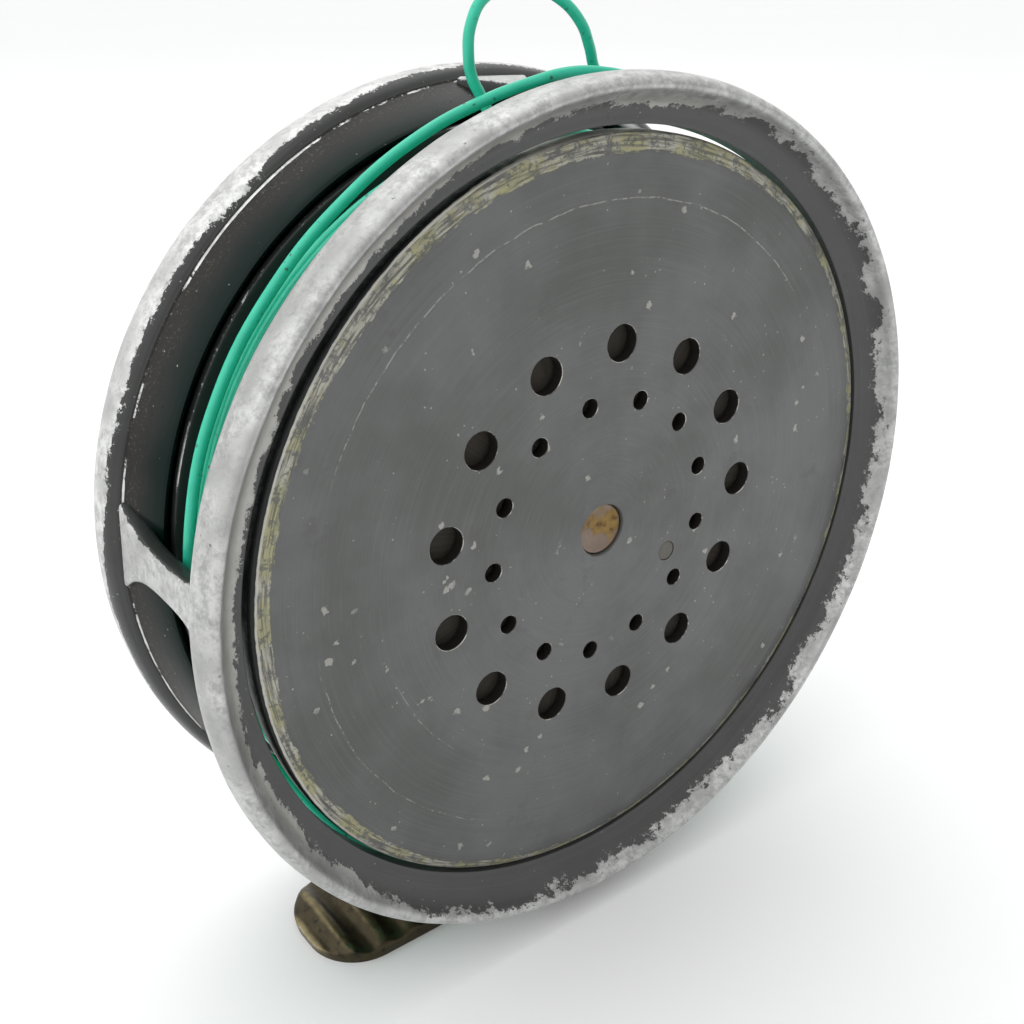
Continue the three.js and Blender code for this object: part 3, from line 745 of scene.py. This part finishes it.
# ---- the foot screws -----------------------------------------------------------------------------------
# Two slotted steel screws pass up through the foot into the seat. Their heads lie in countersinks under the
# foot, a little rounded, and dull with old oil.


def dull_steel(name, colour=(0.42, 0.41, 0.39)):
    f = Finish(name, Metallic=1.0)
    f.set("Base Color", f.mix(f.noise(0.9, 4, 0.65), tone(colour, 0.6), colour))
    f.set("Roughness", f.ramp(f.noise(1.7, 4), 0.3, 0.7, 0.28, 0.5))
    f.set("Normal", f.bump(f.noise(4, 4), 0.02, 0.4))
    return f.material


old_steel = dull_steel("oiled_steel")


def screw(name, outline, slot_width, slot_depth, material, place, axis):
    """A slotted screw turned from (radius, height) with its head's face at height 0, facing axis."""
    points, faces, rows, count = [], [], [], 64
    for radius, height in outline:
        rows.append(range(len(points), len(points) + (count if radius else 1)))
        for i in range(len(rows[-1])):
            a = 2 * math.pi * i / count
            points.append(Vector((radius * math.cos(a), radius * math.sin(a), -height)) * MM)
    for a, b in zip(rows, rows[1:]):
        for i in range(count):
            j = (i + 1) % count
            corners = list(dict.fromkeys([a[i % len(a)], b[i % len(b)], b[j % len(b)], a[j % len(a)]]))
            faces.append(corners)
    piece = place_mesh(name, points, faces, material)
    reach = 2 * max(radius for radius, height in outline) * MM
    box = bpy.data.meshes.new("cutter")
    w, d = slot_width / 2 * MM, slot_depth * MM
    corners = [(x, y, z) for x in (-reach, reach) for y in (-w, w) for z in (-d, reach)]
    sides = [(0, 1, 3, 2), (4, 6, 7, 5), (0, 4, 5, 1), (2, 3, 7, 6), (0, 2, 6, 4), (1, 5, 7, 3)]
    box.from_pydata(corners, [], sides)
    cutter = bpy.data.objects.new("cutter", box)
    bpy.context.scene.collection.objects.link(cutter)
    cut_with(piece, [cutter])
    piece.data.set_sharp_from_angle(angle=math.radians(38))
    facing = Vector(axis).to_track_quat("Z", "Y").to_matrix().to_4x4()
    piece.data.transform(Matrix.Translation(place) @ facing)
    return piece


foot_screw_outline = [(0, 0), (1.5, 0.03), (2.1, 0.12), (2.28, 0.3)]
foot_screw_outline += [(1.2, 1.3), (1.1, 1.5), (1.1, 7.3), (0, 7.4)]
for number, x in enumerate((-FOOT_SCREW_X, FOOT_SCREW_X), 1):
    place = Vector((x * MM, 0, 0.25 * MM))
    head = screw(f"seat_screw_{number}", foot_screw_outline, 0.5, 0.55, old_steel, place, (0, 0, -1))
    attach(head, "frame")
    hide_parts(f"foot_screw_{number}")

# ---- the bearing bush and the check --------------------------------------------------------------------
# Behind the drum a brass bush carries the spindle. A toothed brass wheel on the spindle clicks past a steel
# pawl, which a hairpin spring holds in line. They keep the shapes of the frame, in oiled brass and steel.


def old_brass(name, dull=(0.3, 0.19, 0.07), bright=(0.62, 0.42, 0.16), rough=(0.26, 0.44)):
    f = Finish(name, Metallic=1.0)
    stain = f.noise(0.8, 5, 0.65)
    f.set("Base Color", f.mix(f.ramp(stain, 0.35, 0.68), bright, dull))
    f.set("Roughness", f.ramp(f.noise(1.6, 4), 0.3, 0.7, *rough))
    f.set("Normal", f.bump(f.noise(3.5, 4), 0.03, 0.4))
    return f.material


oiled_brass = old_brass("oiled_brass")
for name, finish in (
    ("bearing_bush", oiled_brass),
    ("check_wheel", oiled_brass),
    ("check_pawl", old_steel),
    ("check_spring", old_steel),
    ("pawl_screw", old_steel),
    ("spring_screw", old_steel),
):
    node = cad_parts[name]
    node.data.materials.clear()
    node.data.materials.append(finish)

# ---- the drum's arbor and back flange ------------------------------------------------------------------
# The drum is a second casting, with an arbor between two flanges. The back flange is thin, stained nearly
# black by oil, and its edge is rubbed to a bright line where the finger rests on it to slow a fish.


def flange_wear(radius, depth, degrees):
    return 0.5 + 0.3 * patchy(degrees, 5.5, 9) if radius > 41.7 and depth < 17.5 else 0.15


drum_stain = stained_alloy("stained_drum_alloy", stain=(0.018, 0.021, 0.02), ragged=0.4, shine=0.3)
arbor = turned(
    "arbor",
    [(3.3, 1.9), (3.5, 1.7), (13, 1.7), (13, 16.8), (3.5, 16.8), (3.3, 16.6)],
    drum_stain,
)
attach(arbor, "drum")
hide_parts("drum_arbor")
back_flange = turned(
    "back_flange",
    [(3.2, 17.3), (3.4, 17.1)]
    + [(r, 17.1) for r in range(8, 41, 4)]
    + flow([
        (41.3, 17.1), (41.62, 17.14), (41.76, 17.28), (41.8, 17.6), (41.8, 17.9), (41.7, 18.2), (41.4, 18.36),
    ])
    + [(40, 18.4), (20, 18.4), (3.4, 18.4), (3.2, 18.2)],
    drum_stain,
    ROUND,
    wear=flange_wear,
)
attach(back_flange, "drum")
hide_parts("drum_back_flange")

# ---- the backing and the wound line --------------------------------------------------------------------
# Some seventy metres of dark braided backing fill the drum's middle, and the fly line is wound over it. Both
# are laid on in close turns, which the angler's finger leads from side to side.


def winding(name, radius, diameter, low, high, material, seed, points_a_turn=72, sides=8, core=1.0):
    """Close turns of line from flange to flange, over a core that stands for the turns underneath."""
    turns = (high - low - diameter) / (diameter * 1.015)
    total = round(turns * points_a_turn)
    centres = []
    for i in range(total + 1):
        share = i / total
        degrees = 360 * turns * share
        wander = 0.16 * diameter * noise.noise(Vector((share * turns * 2.3, seed, 0)))
        lift = 0.10 * diameter * noise.noise(Vector((share * turns * 3.1, seed, 7)))
        depth = low + diameter / 2 + (high - low - diameter) * share + wander * math.sin(math.pi * share)
        crown = 0.55 * diameter * (abs(2 * share - 1) ** 6)
        centres.append((degrees, radius - diameter / 2 + lift - crown, depth))
    points, faces = [], []
    for degrees, r, depth in centres:
        for k in range(sides):
            a = 2 * math.pi * k / sides
            points.append(around(degrees, r + diameter / 2 * math.cos(a), depth + diameter / 2 * math.sin(a)))
    for i in range(total):
        for k in range(sides):
            m = (k + 1) % sides
            faces.append((i * sides + k, i * sides + m, (i + 1) * sides + m, (i + 1) * sides + k))
    faces.append(tuple(reversed(range(sides))))
    faces.append(tuple(range(total * sides, (total + 1) * sides)))
    # the turns underneath, as a ribbed ring
    base, count = len(points), 96
    inner = radius - diameter * (1 + core)
    outline = [(inner, low), (radius - diameter, low + 0.1), (radius - diameter * 0.75, low + diameter)]
    outline += [(radius - diameter * 0.75, high - diameter), (radius - diameter, high - 0.1), (inner, high)]
    for r, depth in outline:
        points.extend(around(360 * i / count, r, depth) for i in range(count))
    for row in range(len(outline)):
        after = (row + 1) % len(outline)
        for i in range(count):
            j = (i + 1) % count
            faces.append((base + row * count + i, base + after * count + i,
                          base + after * count + j, base + row * count + j))
    piece = place_mesh(name, points, faces, material, 60)
    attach(piece, "drum")
    return piece


def backing_braid():
    """Dark braided cord, matt and slightly hairy."""
    f = Finish("dark_braid", Roughness=0.85)
    _, depth, turn = f.polar()
    weave = f.noise(1.0, 2, at=f.combine(f.times(turn, 60.0), f.times(depth, 9.0), 0.0))
    f.set("Base Color", f.mix(weave, (0.015, 0.013, 0.011), (0.06, 0.05, 0.038)))
    f.set("Normal", f.bump(weave, 0.12, 0.6))
    return f.material


WOUND_FROM, WOUND_TO = 1.75, 16.75
BACKING_RADIUS, BACKING_DIAMETER = 28.4, 0.7
WOUND_RADIUS = 39.4
backing = winding(
    "backing", BACKING_RADIUS, BACKING_DIAMETER, WOUND_FROM, WOUND_TO, backing_braid(),
    seed=11, points_a_turn=48, sides=6, core=20.0,
)
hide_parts("backing_winding")
wound_line = winding(
    "wound_line", WOUND_RADIUS, LINE_DIAMETER, WOUND_FROM, WOUND_TO, line_coat,
    seed=23, points_a_turn=96, sides=10, core=7.5,
)
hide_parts("line_winding")

# ---- the drum's front flange ---------------------------------------------------------------------------
# The open side of the drum is a flat disc, faced on the lathe and stained grey, with two rings of thirteen
# drilled holes. Its bevelled edge is rubbed to beige metal with traces of brassy wax, and it is scratched.

LARGE_HOLES = (13, 21.0, 2.0, 85.1)  # how many, on what radius, their radius, the first one's angle
SMALL_HOLES = (13, 14.85, 1.05, 98.95)
HOLE_CHAMFER = 0.07
KEY_PIN = (11.4, -29.0, 1.2)
SPINDLE_RADIUS = 2.9
DISC_THICKNESS = 1.4


def hole_places(*rings):
    return [
        (circle, first - 360 * i / count, radius, HOLE_CHAMFER, HOLE_CHAMFER)
        for count, circle, radius, first in rings
        for i in range(count)
    ]


def pierced_disc(name, rim, holes, front, back, material, sharp=25):
    """A flat disc with round holes. rim is its edge as (radius, depth), from one face to the other, and
    every hole has its circle, its angle, its radius, and how wide and how deep its countersink is."""
    points, faces = [], []

    def ring(cx, cz, radius, depth, count):
        start = len(points)
        for i in range(count):
            a = 2 * math.pi * i / count
            place = Vector(((cx + radius * math.cos(a)) * MM, FACE_Y + depth * MM, 0))
            place.z = AXIS_Z + (cz + radius * math.sin(a)) * MM
            points.append(place)
        return range(start, start + count)

    def band(a, b):
        for i in range(len(a)):
            j = (i + 1) % len(a)
            faces.append((a[i], a[j], b[j], b[i]))

    def face(edges, limit, flip):
        """Fills the flat between the outer ring and the holes' rings with triangles."""
        used = [i for edge in edges for i in edge]
        flat = [Vector((points[i].x, points[i].z)) for i in used]
        lines, at = [], 0
        for edge in edges:
            n = len(edge)
            lines.extend((at + i, at + (i + 1) % n) for i in range(n))
            at += n
        found, _, triangles, origin, _, _ = delaunay_2d_cdt(flat, lines, [], 0, 1e-9)
        for triangle in triangles:
            middle = sum((found[i] for i in triangle), Vector((0, 0))) / 3
            x, z = middle.x / MM, (middle.y - AXIS_Z) / MM
            if math.hypot(x, z) > limit:
                continue
            if any(math.hypot(x - cx, z - cz) < radius * 0.995 for cx, cz, radius in mouths):
                continue
            corners = [used[origin[i][0]] for i in triangle]
            faces.append(tuple(corners[::-1] if flip else corners))

    outer = [ring(0, 0, radius, depth, ROUND) for radius, depth in rim]
    for a, b in zip(outer, outer[1:]):
        band(a, b)
    front_edges, back_edges, mouths = [outer[0]], [outer[-1]], []
    for circle, degrees, radius, wide, deep in holes:
        turn = math.radians(degrees)
        cx, cz = circle * math.cos(turn), circle * math.sin(turn)
        mouths.append((cx, cz, radius + wide))
        count = 48 if radius > 1.5 else 28
        wall = [
            ring(cx, cz, radius + wide, front, count),
            ring(cx, cz, radius + wide * 0.35, front + deep * 0.35, count),
            ring(cx, cz, radius, front + deep, count),
            ring(cx, cz, radius, back - deep, count),
            ring(cx, cz, radius + wide, back, count),
        ]
        for a, b in zip(wall, wall[1:]):
            band(b, a)
        front_edges.append(wall[0])
        back_edges.append(wall[-1])
    face(front_edges, rim[0][0], False)
    face(back_edges, rim[-1][0], True)
    return place_mesh(name, points, faces, material, sharp)


def faced_disc():
    """Lathe-faced grey stain: faint rings, a few turned scratches, chips, a rubbed bevel, and round the edge
    a painted highlight line and a painted shade border.
    """
    f = Finish("faced_disc_stain_and_edge_shade", Metallic=0.55)
    radius, _, turn = f.polar()
    about = f.combine(f.times(radius, 5.0), f.times(turn, 2.0), 0.0)
    fine_rings = f.noise(1.0, 4, 0.6, at=about)
    wide = f.combine(f.times(radius, 1.1), f.times(turn, 0.8), 3.0)
    wide_rings = f.noise(1.0, 3, 0.5, at=wide)
    cloud = f.ramp(f.noise(0.05, 5, 0.6), 0.35, 0.65)
    grey = f.mix(cloud, (0.096, 0.1, 0.096), (0.136, 0.14, 0.138))
    grey = f.mix(f.ramp(fine_rings, 0.45, 0.75, 0, 0.3), grey, (0.16, 0.164, 0.16))
    grey = f.mix(f.ramp(wide_rings, 0.55, 0.8, 0, 0.3), grey, (0.09, 0.092, 0.09))
    smudge = f.ramp(f.noise(0.16, 6, 0.7), 0.58, 0.7, 0, 0.4)
    grey = f.mix(smudge, grey, (0.085, 0.082, 0.08))

    # short bright arcs where grit has turned against the face
    dashes = f.noise(1.0, 2, at=f.combine(f.times(radius, 16.0), f.times(turn, 9.0), 5.0))
    arcs = f.ramp(dashes, 0.74, 0.79)
    wobble = f.wander(0.6, 0.3, 2)
    breaks = f.noise(0.9, 5, 0.72)

    def turned_scratch(at_radius, width, low, high, broken):
        """A thin ring scratch between two angles, in radians, with breaks in it."""
        away = f.math("ABSOLUTE", f.minus(f.plus(radius, wobble), at_radius))
        line = f.ramp(away, width, width * 0.4)
        here = f.times(f.ramp(turn, low, low + 0.2), f.ramp(turn, high, high - 0.2))
        return f.times(f.times(line, here), f.ramp(breaks, broken, broken + 0.12))

    scratches = turned_scratch(35.7, 0.1, 0.6, 2.8, 0.42)
    scratches = f.math("MAXIMUM", scratches, turned_scratch(35.6, 0.08, -3.1, -2.0, 0.46))
    scratches = f.math("MAXIMUM", scratches, turned_scratch(28.6, 0.07, -2.9, -2.3, 0.46))
    chips = f.times(f.flecks(0.3, 0.14), f.ramp(f.noise(0.11, 2), 0.48, 0.54))
    small_chips = f.times(f.flecks(1.0, 0.12), f.ramp(f.noise(0.2, 2, 0.6), 0.52, 0.6))
    marks = f.math("MAXIMUM", f.math("MAXIMUM", chips, small_chips), f.times(scratches, 0.8))
    marked = f.mix(f.times(marks, 0.75), grey, (0.38, 0.37, 0.34))
    marked = f.mix(f.times(arcs, 0.3), marked, (0.26, 0.26, 0.245))

    # the bevel: beige metal streaked with brassy yellow, widest at the upper left
    ragged = f.wander(1.5, 0.6, 6, 0.65)
    uneven = f.wander(1.4, 0.06, 2)
    side = f.times(f.math("COSINE", f.minus(turn, 2.3)), 0.7)
    edge = f.plus(f.plus(radius, ragged), f.plus(uneven, side))
    bared = f.ramp(edge, 40.55, 40.7)
    streak = f.combine(f.times(radius, 3.5), f.times(turn, 9.0), 9.0)
    streaks = f.noise(1.0, 5, 0.68, at=streak)
    beige = f.mix(f.ramp(streaks, 0.38, 0.6), (0.1, 0.1, 0.09), (0.4, 0.39, 0.33))
    brassy = f.times(f.ramp(f.noise(0.22, 5, 0.65), 0.47, 0.56), f.ramp(streaks, 0.4, 0.6, 0.2, 0.7))
    beige = f.mix(brassy, beige, (0.31, 0.3, 0.12))
    kept = f.ramp(f.noise(0.8, 6, 0.75), 0.42, 0.5, 0.15, 1)
    bared = f.times(bared, kept)
    # a painted highlight along the edge's corner, then a painted dark border that stands in for the shade in
    # the gap round the disc, widened on the left so the gap looks wider there
    leftward = f.math("MAXIMUM", f.math("COSINE", f.minus(turn, 2.9)), 0.0)
    turned_in = f.times(f.math("POWER", leftward, 2.0), 0.75)
    outside = f.minus(f.plus(radius, turned_in), 42.05)
    outside = f.plus(outside, f.wander(0.15, 0.9, 3))
    # painted highlight: the bright corner line is mixed in here, over the rubbed bevel
    rubbed = f.mix(f.ramp(outside, -0.16, -0.06, 0, 0.7), f.mix(bared, marked, beige), (0.55, 0.54, 0.5))
    # painted shade: past the corner the colour goes near black, as the shade in the gap
    f.set("Base Color", f.mix(f.ramp(outside, 0.08, 0.18), rubbed, (0.014, 0.016, 0.015)))
    f.set("Roughness", f.ramp(fine_rings, 0.3, 0.75, 0.46, 0.38))
    low = f.bump(f.plus(fine_rings, f.times(wide_rings, 0.7)), 0.014, 0.3)
    f.set("Normal", f.bump(f.plus(marks, bared), -0.04, 0.5, low))
    return f.material


flange_rim = [(40, 0), (40.8, 0.05), (41.6, 0.12), (41.8, 0.19), (41.93, 0.32), (42, 0.5), (42, 2.2)]
flange_rim += [(41.93, 2.34), (41.8, 2.4), (40.6, 2.4), (40.46, 2.34), (40.4, 2.2)]
flange_rim += [(40.4, 1.6), (40.34, 1.46), (40.2, 1.4)]
flange_holes = hole_places(LARGE_HOLES, SMALL_HOLES)
flange_holes += [(*KEY_PIN, 0.02, 0.02), (0, 0, SPINDLE_RADIUS + 0.05, 0.12, 0.3)]
disc_finish = faced_disc()
front_flange = pierced_disc("front_flange", flange_rim, flange_holes, 0.0, DISC_THICKNESS, disc_finish)
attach(front_flange, "drum")
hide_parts("drum_front_flange")

# the rim of each hole is bright in places, as the drill left it, and its bore is painted near black as the
# shade inside the hole
drilled = Finish("drilled_edge", Metallic=0.8, Roughness=0.36)
burr = drilled.ramp(drilled.noise(0.45, 5, 0.7), 0.46, 0.58)
drilled.set("Base Color", drilled.mix(burr, (0.1, 0.1, 0.095), (0.5, 0.49, 0.45)))
front_flange.data.materials.append(drilled.material)
# painted shade: the bores are coloured near black for the shade inside the holes
hole_shade = Finish("painted_bore_shade", Metallic=0.4, Roughness=0.55)
hole_shade.set("Base Color", hole_shade.mix(hole_shade.noise(1.5, 4), (0.01, 0.009, 0.008), (0.03, 0.026, 0.02)))
front_flange.data.materials.append(hole_shade.material)
for face in front_flange.data.polygons:
    middle = face.center
    radius = math.hypot(middle.x, middle.z - AXIS_Z) / MM
    depth = (middle.y - FACE_Y) / MM
    if 5 < radius < 39 and 0.005 < depth < 1.39:
        face.material_index = 1 if depth < 0.06 else 2

# ---- the small pin in the disc -------------------------------------------------------------------------
# The faint round spot beside the spindle is made as the end of a small pin, riveted flush in the disc and
# stained brown. What the real one does isn't known.

pin_finish = Finish("stained_pin", Metallic=0.5, Roughness=0.42)
pin_grain = pin_finish.noise(0.9, 4, 0.6)
pin_finish.set("Base Color", pin_finish.mix(pin_grain, (0.085, 0.075, 0.06), (0.13, 0.124, 0.11)))
pin_outline = [(0, 0.03), (0.9, 0.03), (1.1, 0.05), (1.18, 0.1), (1.18, 1.2), (1.0, 1.35), (0, 1.35)]
key_pin = turned("key_pin", pin_outline, pin_finish.material, 32, closed=False)
pin_turn = math.radians(KEY_PIN[1])
key_pin.data.transform(Matrix.Translation(
    Vector((math.cos(pin_turn), 0, math.sin(pin_turn))) * KEY_PIN[0] * MM
))
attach(key_pin, "drum")
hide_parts("drum_key_pin")

# ---- the spindle ---------------------------------------------------------------------------------------
# A brass spindle runs right through the reel. Its end is turned slightly hollow, stands a little inside the
# disc, and has tarnished to a dull yellow. A pinkish sheen is painted into its colour as a painted
# reflection.


def spindle_brass():
    f = Finish("tarnish_and_sheen_spindle", Metallic=1.0)
    yellow = f.mix(f.ramp(f.noise(1.1, 4, 0.6), 0.4, 0.7), (0.22, 0.145, 0.055), (0.11, 0.068, 0.03))
    # painted reflection: pinkish patches laid over the tarnished yellow stand for a sheen
    f.set("Base Color", f.mix(f.ramp(f.noise(0.3, 3), 0.44, 0.56), yellow, (0.2, 0.155, 0.125)))
    f.set("Roughness", f.ramp(f.noise(2.0, 3), 0.3, 0.7, 0.28, 0.45))
    f.set("Normal", f.bump(f.noise(3.0, 4), 0.04, 0.5))
    return f.material


spindle_outline = [(0, 0.8), (1.2, 0.74), (2.0, 0.6), (2.45, 0.46), (2.72, 0.4), (2.86, 0.44), (2.93, 0.58)]
spindle_outline += [(2.93, 1.3), (2.9, 1.35), (2.9, 24.7), (2.7, 24.9)]
spindle_outline += [(2, 24.9), (2, 26.3), (1.8, 26.5), (0, 26.5)]
spindle = turned("spindle_shaft", spindle_outline, spindle_brass(), 64, closed=False)
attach(spindle, "drum")
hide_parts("spindle")

# ---- the winding plate and its screw -------------------------------------------------------------------
# On the far side a stained disc turns with the spindle and carries the handle. A broad brass screw with a
# domed, slotted head holds it.

plate_rim = flow([(41.0, 26.8), (41.45, 26.72), (41.7, 26.5), (41.8, 26.2)], 3)
plate_rim += [(41.8, 25.6), (41.65, 25.3), (41.4, 25.2)]
plate_holes = [(31, -32.0, 1.75, 0.12, 0.12), (0, 0, 2.15, 0.12, 0.12)]
winding_plate = pierced_disc("crank_plate", plate_rim[::-1], plate_holes, 25.2, 26.8, disc_finish)
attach(winding_plate, "drum")
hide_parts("winding_plate")

worn_brass = old_brass("handled_brass", (0.36, 0.24, 0.09), (0.74, 0.53, 0.22), (0.2, 0.36))
dome = [(0, 0), (1.6, 0.05), (3.0, 0.22), (4.1, 0.5), (4.75, 0.85), (5, 1.25), (5, 1.6), (4.85, 1.8)]
plate_screw_outline = dome + [(1.5, 1.8), (1.5, 1.88), (0, 1.9)]
screw_face = Vector((0, FACE_Y + (26.8 + 0.3 + 1.8) * MM, AXIS_Z))
plate_screw = screw("crank_screw", plate_screw_outline, 0.8, 0.8, worn_brass, screw_face, (0, 1, 0))
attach(plate_screw, "drum")
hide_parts("winding_plate_screw")

# ---- the handle ----------------------------------------------------------------------------------------
# A tapered grip of cream casein, turned and polished, spins on a steel post riveted at its end. The post
# stands in a brass collar on the winding plate.

handle_low, handle_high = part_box("handle_grip")
HANDLE_X = (handle_low.x + handle_high.x) / 2
HANDLE_Z = (handle_low.z + handle_high.z) / 2
to_handle = Matrix.Translation(Vector((HANDLE_X, 0, HANDLE_Z - AXIS_Z)))


def handle_piece(name, outline, material, body, node, closed, segments=64):
    piece = turned(name, outline, material, segments, closed=closed)
    piece.data.transform(to_handle)
    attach(piece, body)
    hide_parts(node)


def cream_casein():
    """Aged cream: warm, slightly cloudy, darker with grime in the turned lines."""
    f = Finish("cream_casein", Roughness=0.3, Coat_Weight=0.3, Coat_Roughness=0.15)
    cream = f.mix(f.noise(0.12, 4, 0.6, stretch=(1, 0.35, 1)), (0.62, 0.5, 0.33), (0.8, 0.72, 0.55))
    f.set("Base Color", f.mix(f.ramp(f.noise(0.7, 5, 0.7), 0.58, 0.72), cream, (0.42, 0.3, 0.17)))
    f.set("Subsurface Weight", 0.12)
    f.set("Subsurface Radius", (0.002, 0.0012, 0.0007))
    f.set("Subsurface Scale", 1.0)
    f.set("Normal", f.bump(f.noise(1.5, 4), 0.03, 0.3))
    return f.material


collar_outline = [(1.9, 27.3), (2.1, 27.1), (4.2, 27.1), (4.4, 27.3), (4.4, 28.0)]
collar_outline += [(4.2, 28.3), (3.8, 28.5), (2.1, 28.5), (1.9, 28.3)]
handle_piece("handle_foot_ring", collar_outline, worn_brass, "drum", "handle_collar", True)
grip_outline = [(1.9, 29.0), (2.1, 28.8), (4.2, 28.8)] + flow([
    (4.45, 28.86), (4.6, 29.05), (4.62, 29.35), (4.5, 29.62), (4.45, 29.8),
]) + flow([
    (4.62, 29.95), (4.9, 30.3), (5.0, 30.9), (4.98, 32.2), (5.05, 34.0), (5.3, 36.5), (5.65, 39.3),
    (5.95, 41.8), (6.1, 44.2), (6.08, 46.2), (5.85, 47.8), (5.35, 48.95), (4.7, 49.55), (4.0, 49.78),
]) + [(3.7, 49.8), (3.6, 49.7), (3.6, 48.9), (3.5, 48.8), (1.9, 48.8)]
handle_piece("cream_grip", grip_outline, cream_casein(), "handle", "handle_grip", True)
post_outline = [(0, 25.3), (1.4, 25.3), (1.6, 25.5), (1.6, 49.1), (3.1, 49.1), (3.2, 49.2)]
post_outline += [(3.1, 49.45), (2.7, 49.75), (2.0, 50.0), (1.1, 50.13), (0, 50.18)]
handle_piece("handle_rivet_post", post_outline, old_steel, "drum", "handle_post", False)

# ---- the floor and the light ---------------------------------------------------------------------------
# The reel stands on a plain white table in a bright white room. One broad soft light hangs on the left and
# another overhead.

floor_finish = Finish("white_table", Roughness=0.6)
floor_cloud = floor_finish.noise(0.004, 2)
floor_finish.set("Base Color", floor_finish.mix(floor_cloud, (0.88, 0.885, 0.89), (0.91, 0.91, 0.91)))
TABLE_HALF = 6.0
floor_corners = [(x * TABLE_HALF, y * TABLE_HALF, 0) for x, y in ((-1, -1), (1, -1), (1, 1), (-1, 1))]
floor_mesh = bpy.data.meshes.new("table_top")
floor_mesh.from_pydata(floor_corners, [], [(0, 1, 2, 3)])
floor_mesh.materials.append(floor_finish.material)
floor = bpy.data.objects.new("table_top", floor_mesh)
bpy.context.scene.collection.objects.link(floor)

# the room is bright overhead and behind the reel, and dimmer in front of it
world = bpy.data.worlds.new("white_room")
world.use_nodes = True
room = world.node_tree
towards = room.nodes.new("ShaderNodeTexCoord")
apart = room.nodes.new("ShaderNodeSeparateXYZ")
fade = room.nodes.new("ShaderNodeMapRange")
fade.interpolation_type = "SMOOTHSTEP"
FADE_FROM, FADE_TO = -0.85, 0.35
DIM_SIDE, BRIGHT_SIDE = 0.72, 1.2
for number, socket in zip((FADE_FROM, FADE_TO, DIM_SIDE, BRIGHT_SIDE), list(fade.inputs)[1:5]):
    socket.default_value = number
room.links.new(towards.outputs["Generated"], apart.inputs[0])
room.links.new(apart.outputs["Y"], fade.inputs["Value"])
room.links.new(fade.outputs["Result"], room.nodes["Background"].inputs["Strength"])
room.nodes["Background"].inputs["Color"].default_value = (1, 1, 1, 1)
bpy.context.scene.world = world


def softbox(name, place, target, size, power):
    data = bpy.data.lights.new(name, "AREA")
    data.shape = "SQUARE"
    data.size = size
    data.energy = power
    light = bpy.data.objects.new(name, data)
    light.location = place
    light.rotation_euler = (Vector(target) - Vector(place)).to_track_quat("-Z", "Y").to_euler()
    bpy.context.scene.collection.objects.link(light)


softbox("left_window", (-0.5, -0.1, 0.5), (0, 0, 0.05), 0.9, 1.6)
softbox("ceiling", (0.1, 0.3, 0.9), (0, 0, 0.04), 0.8, 2.0)
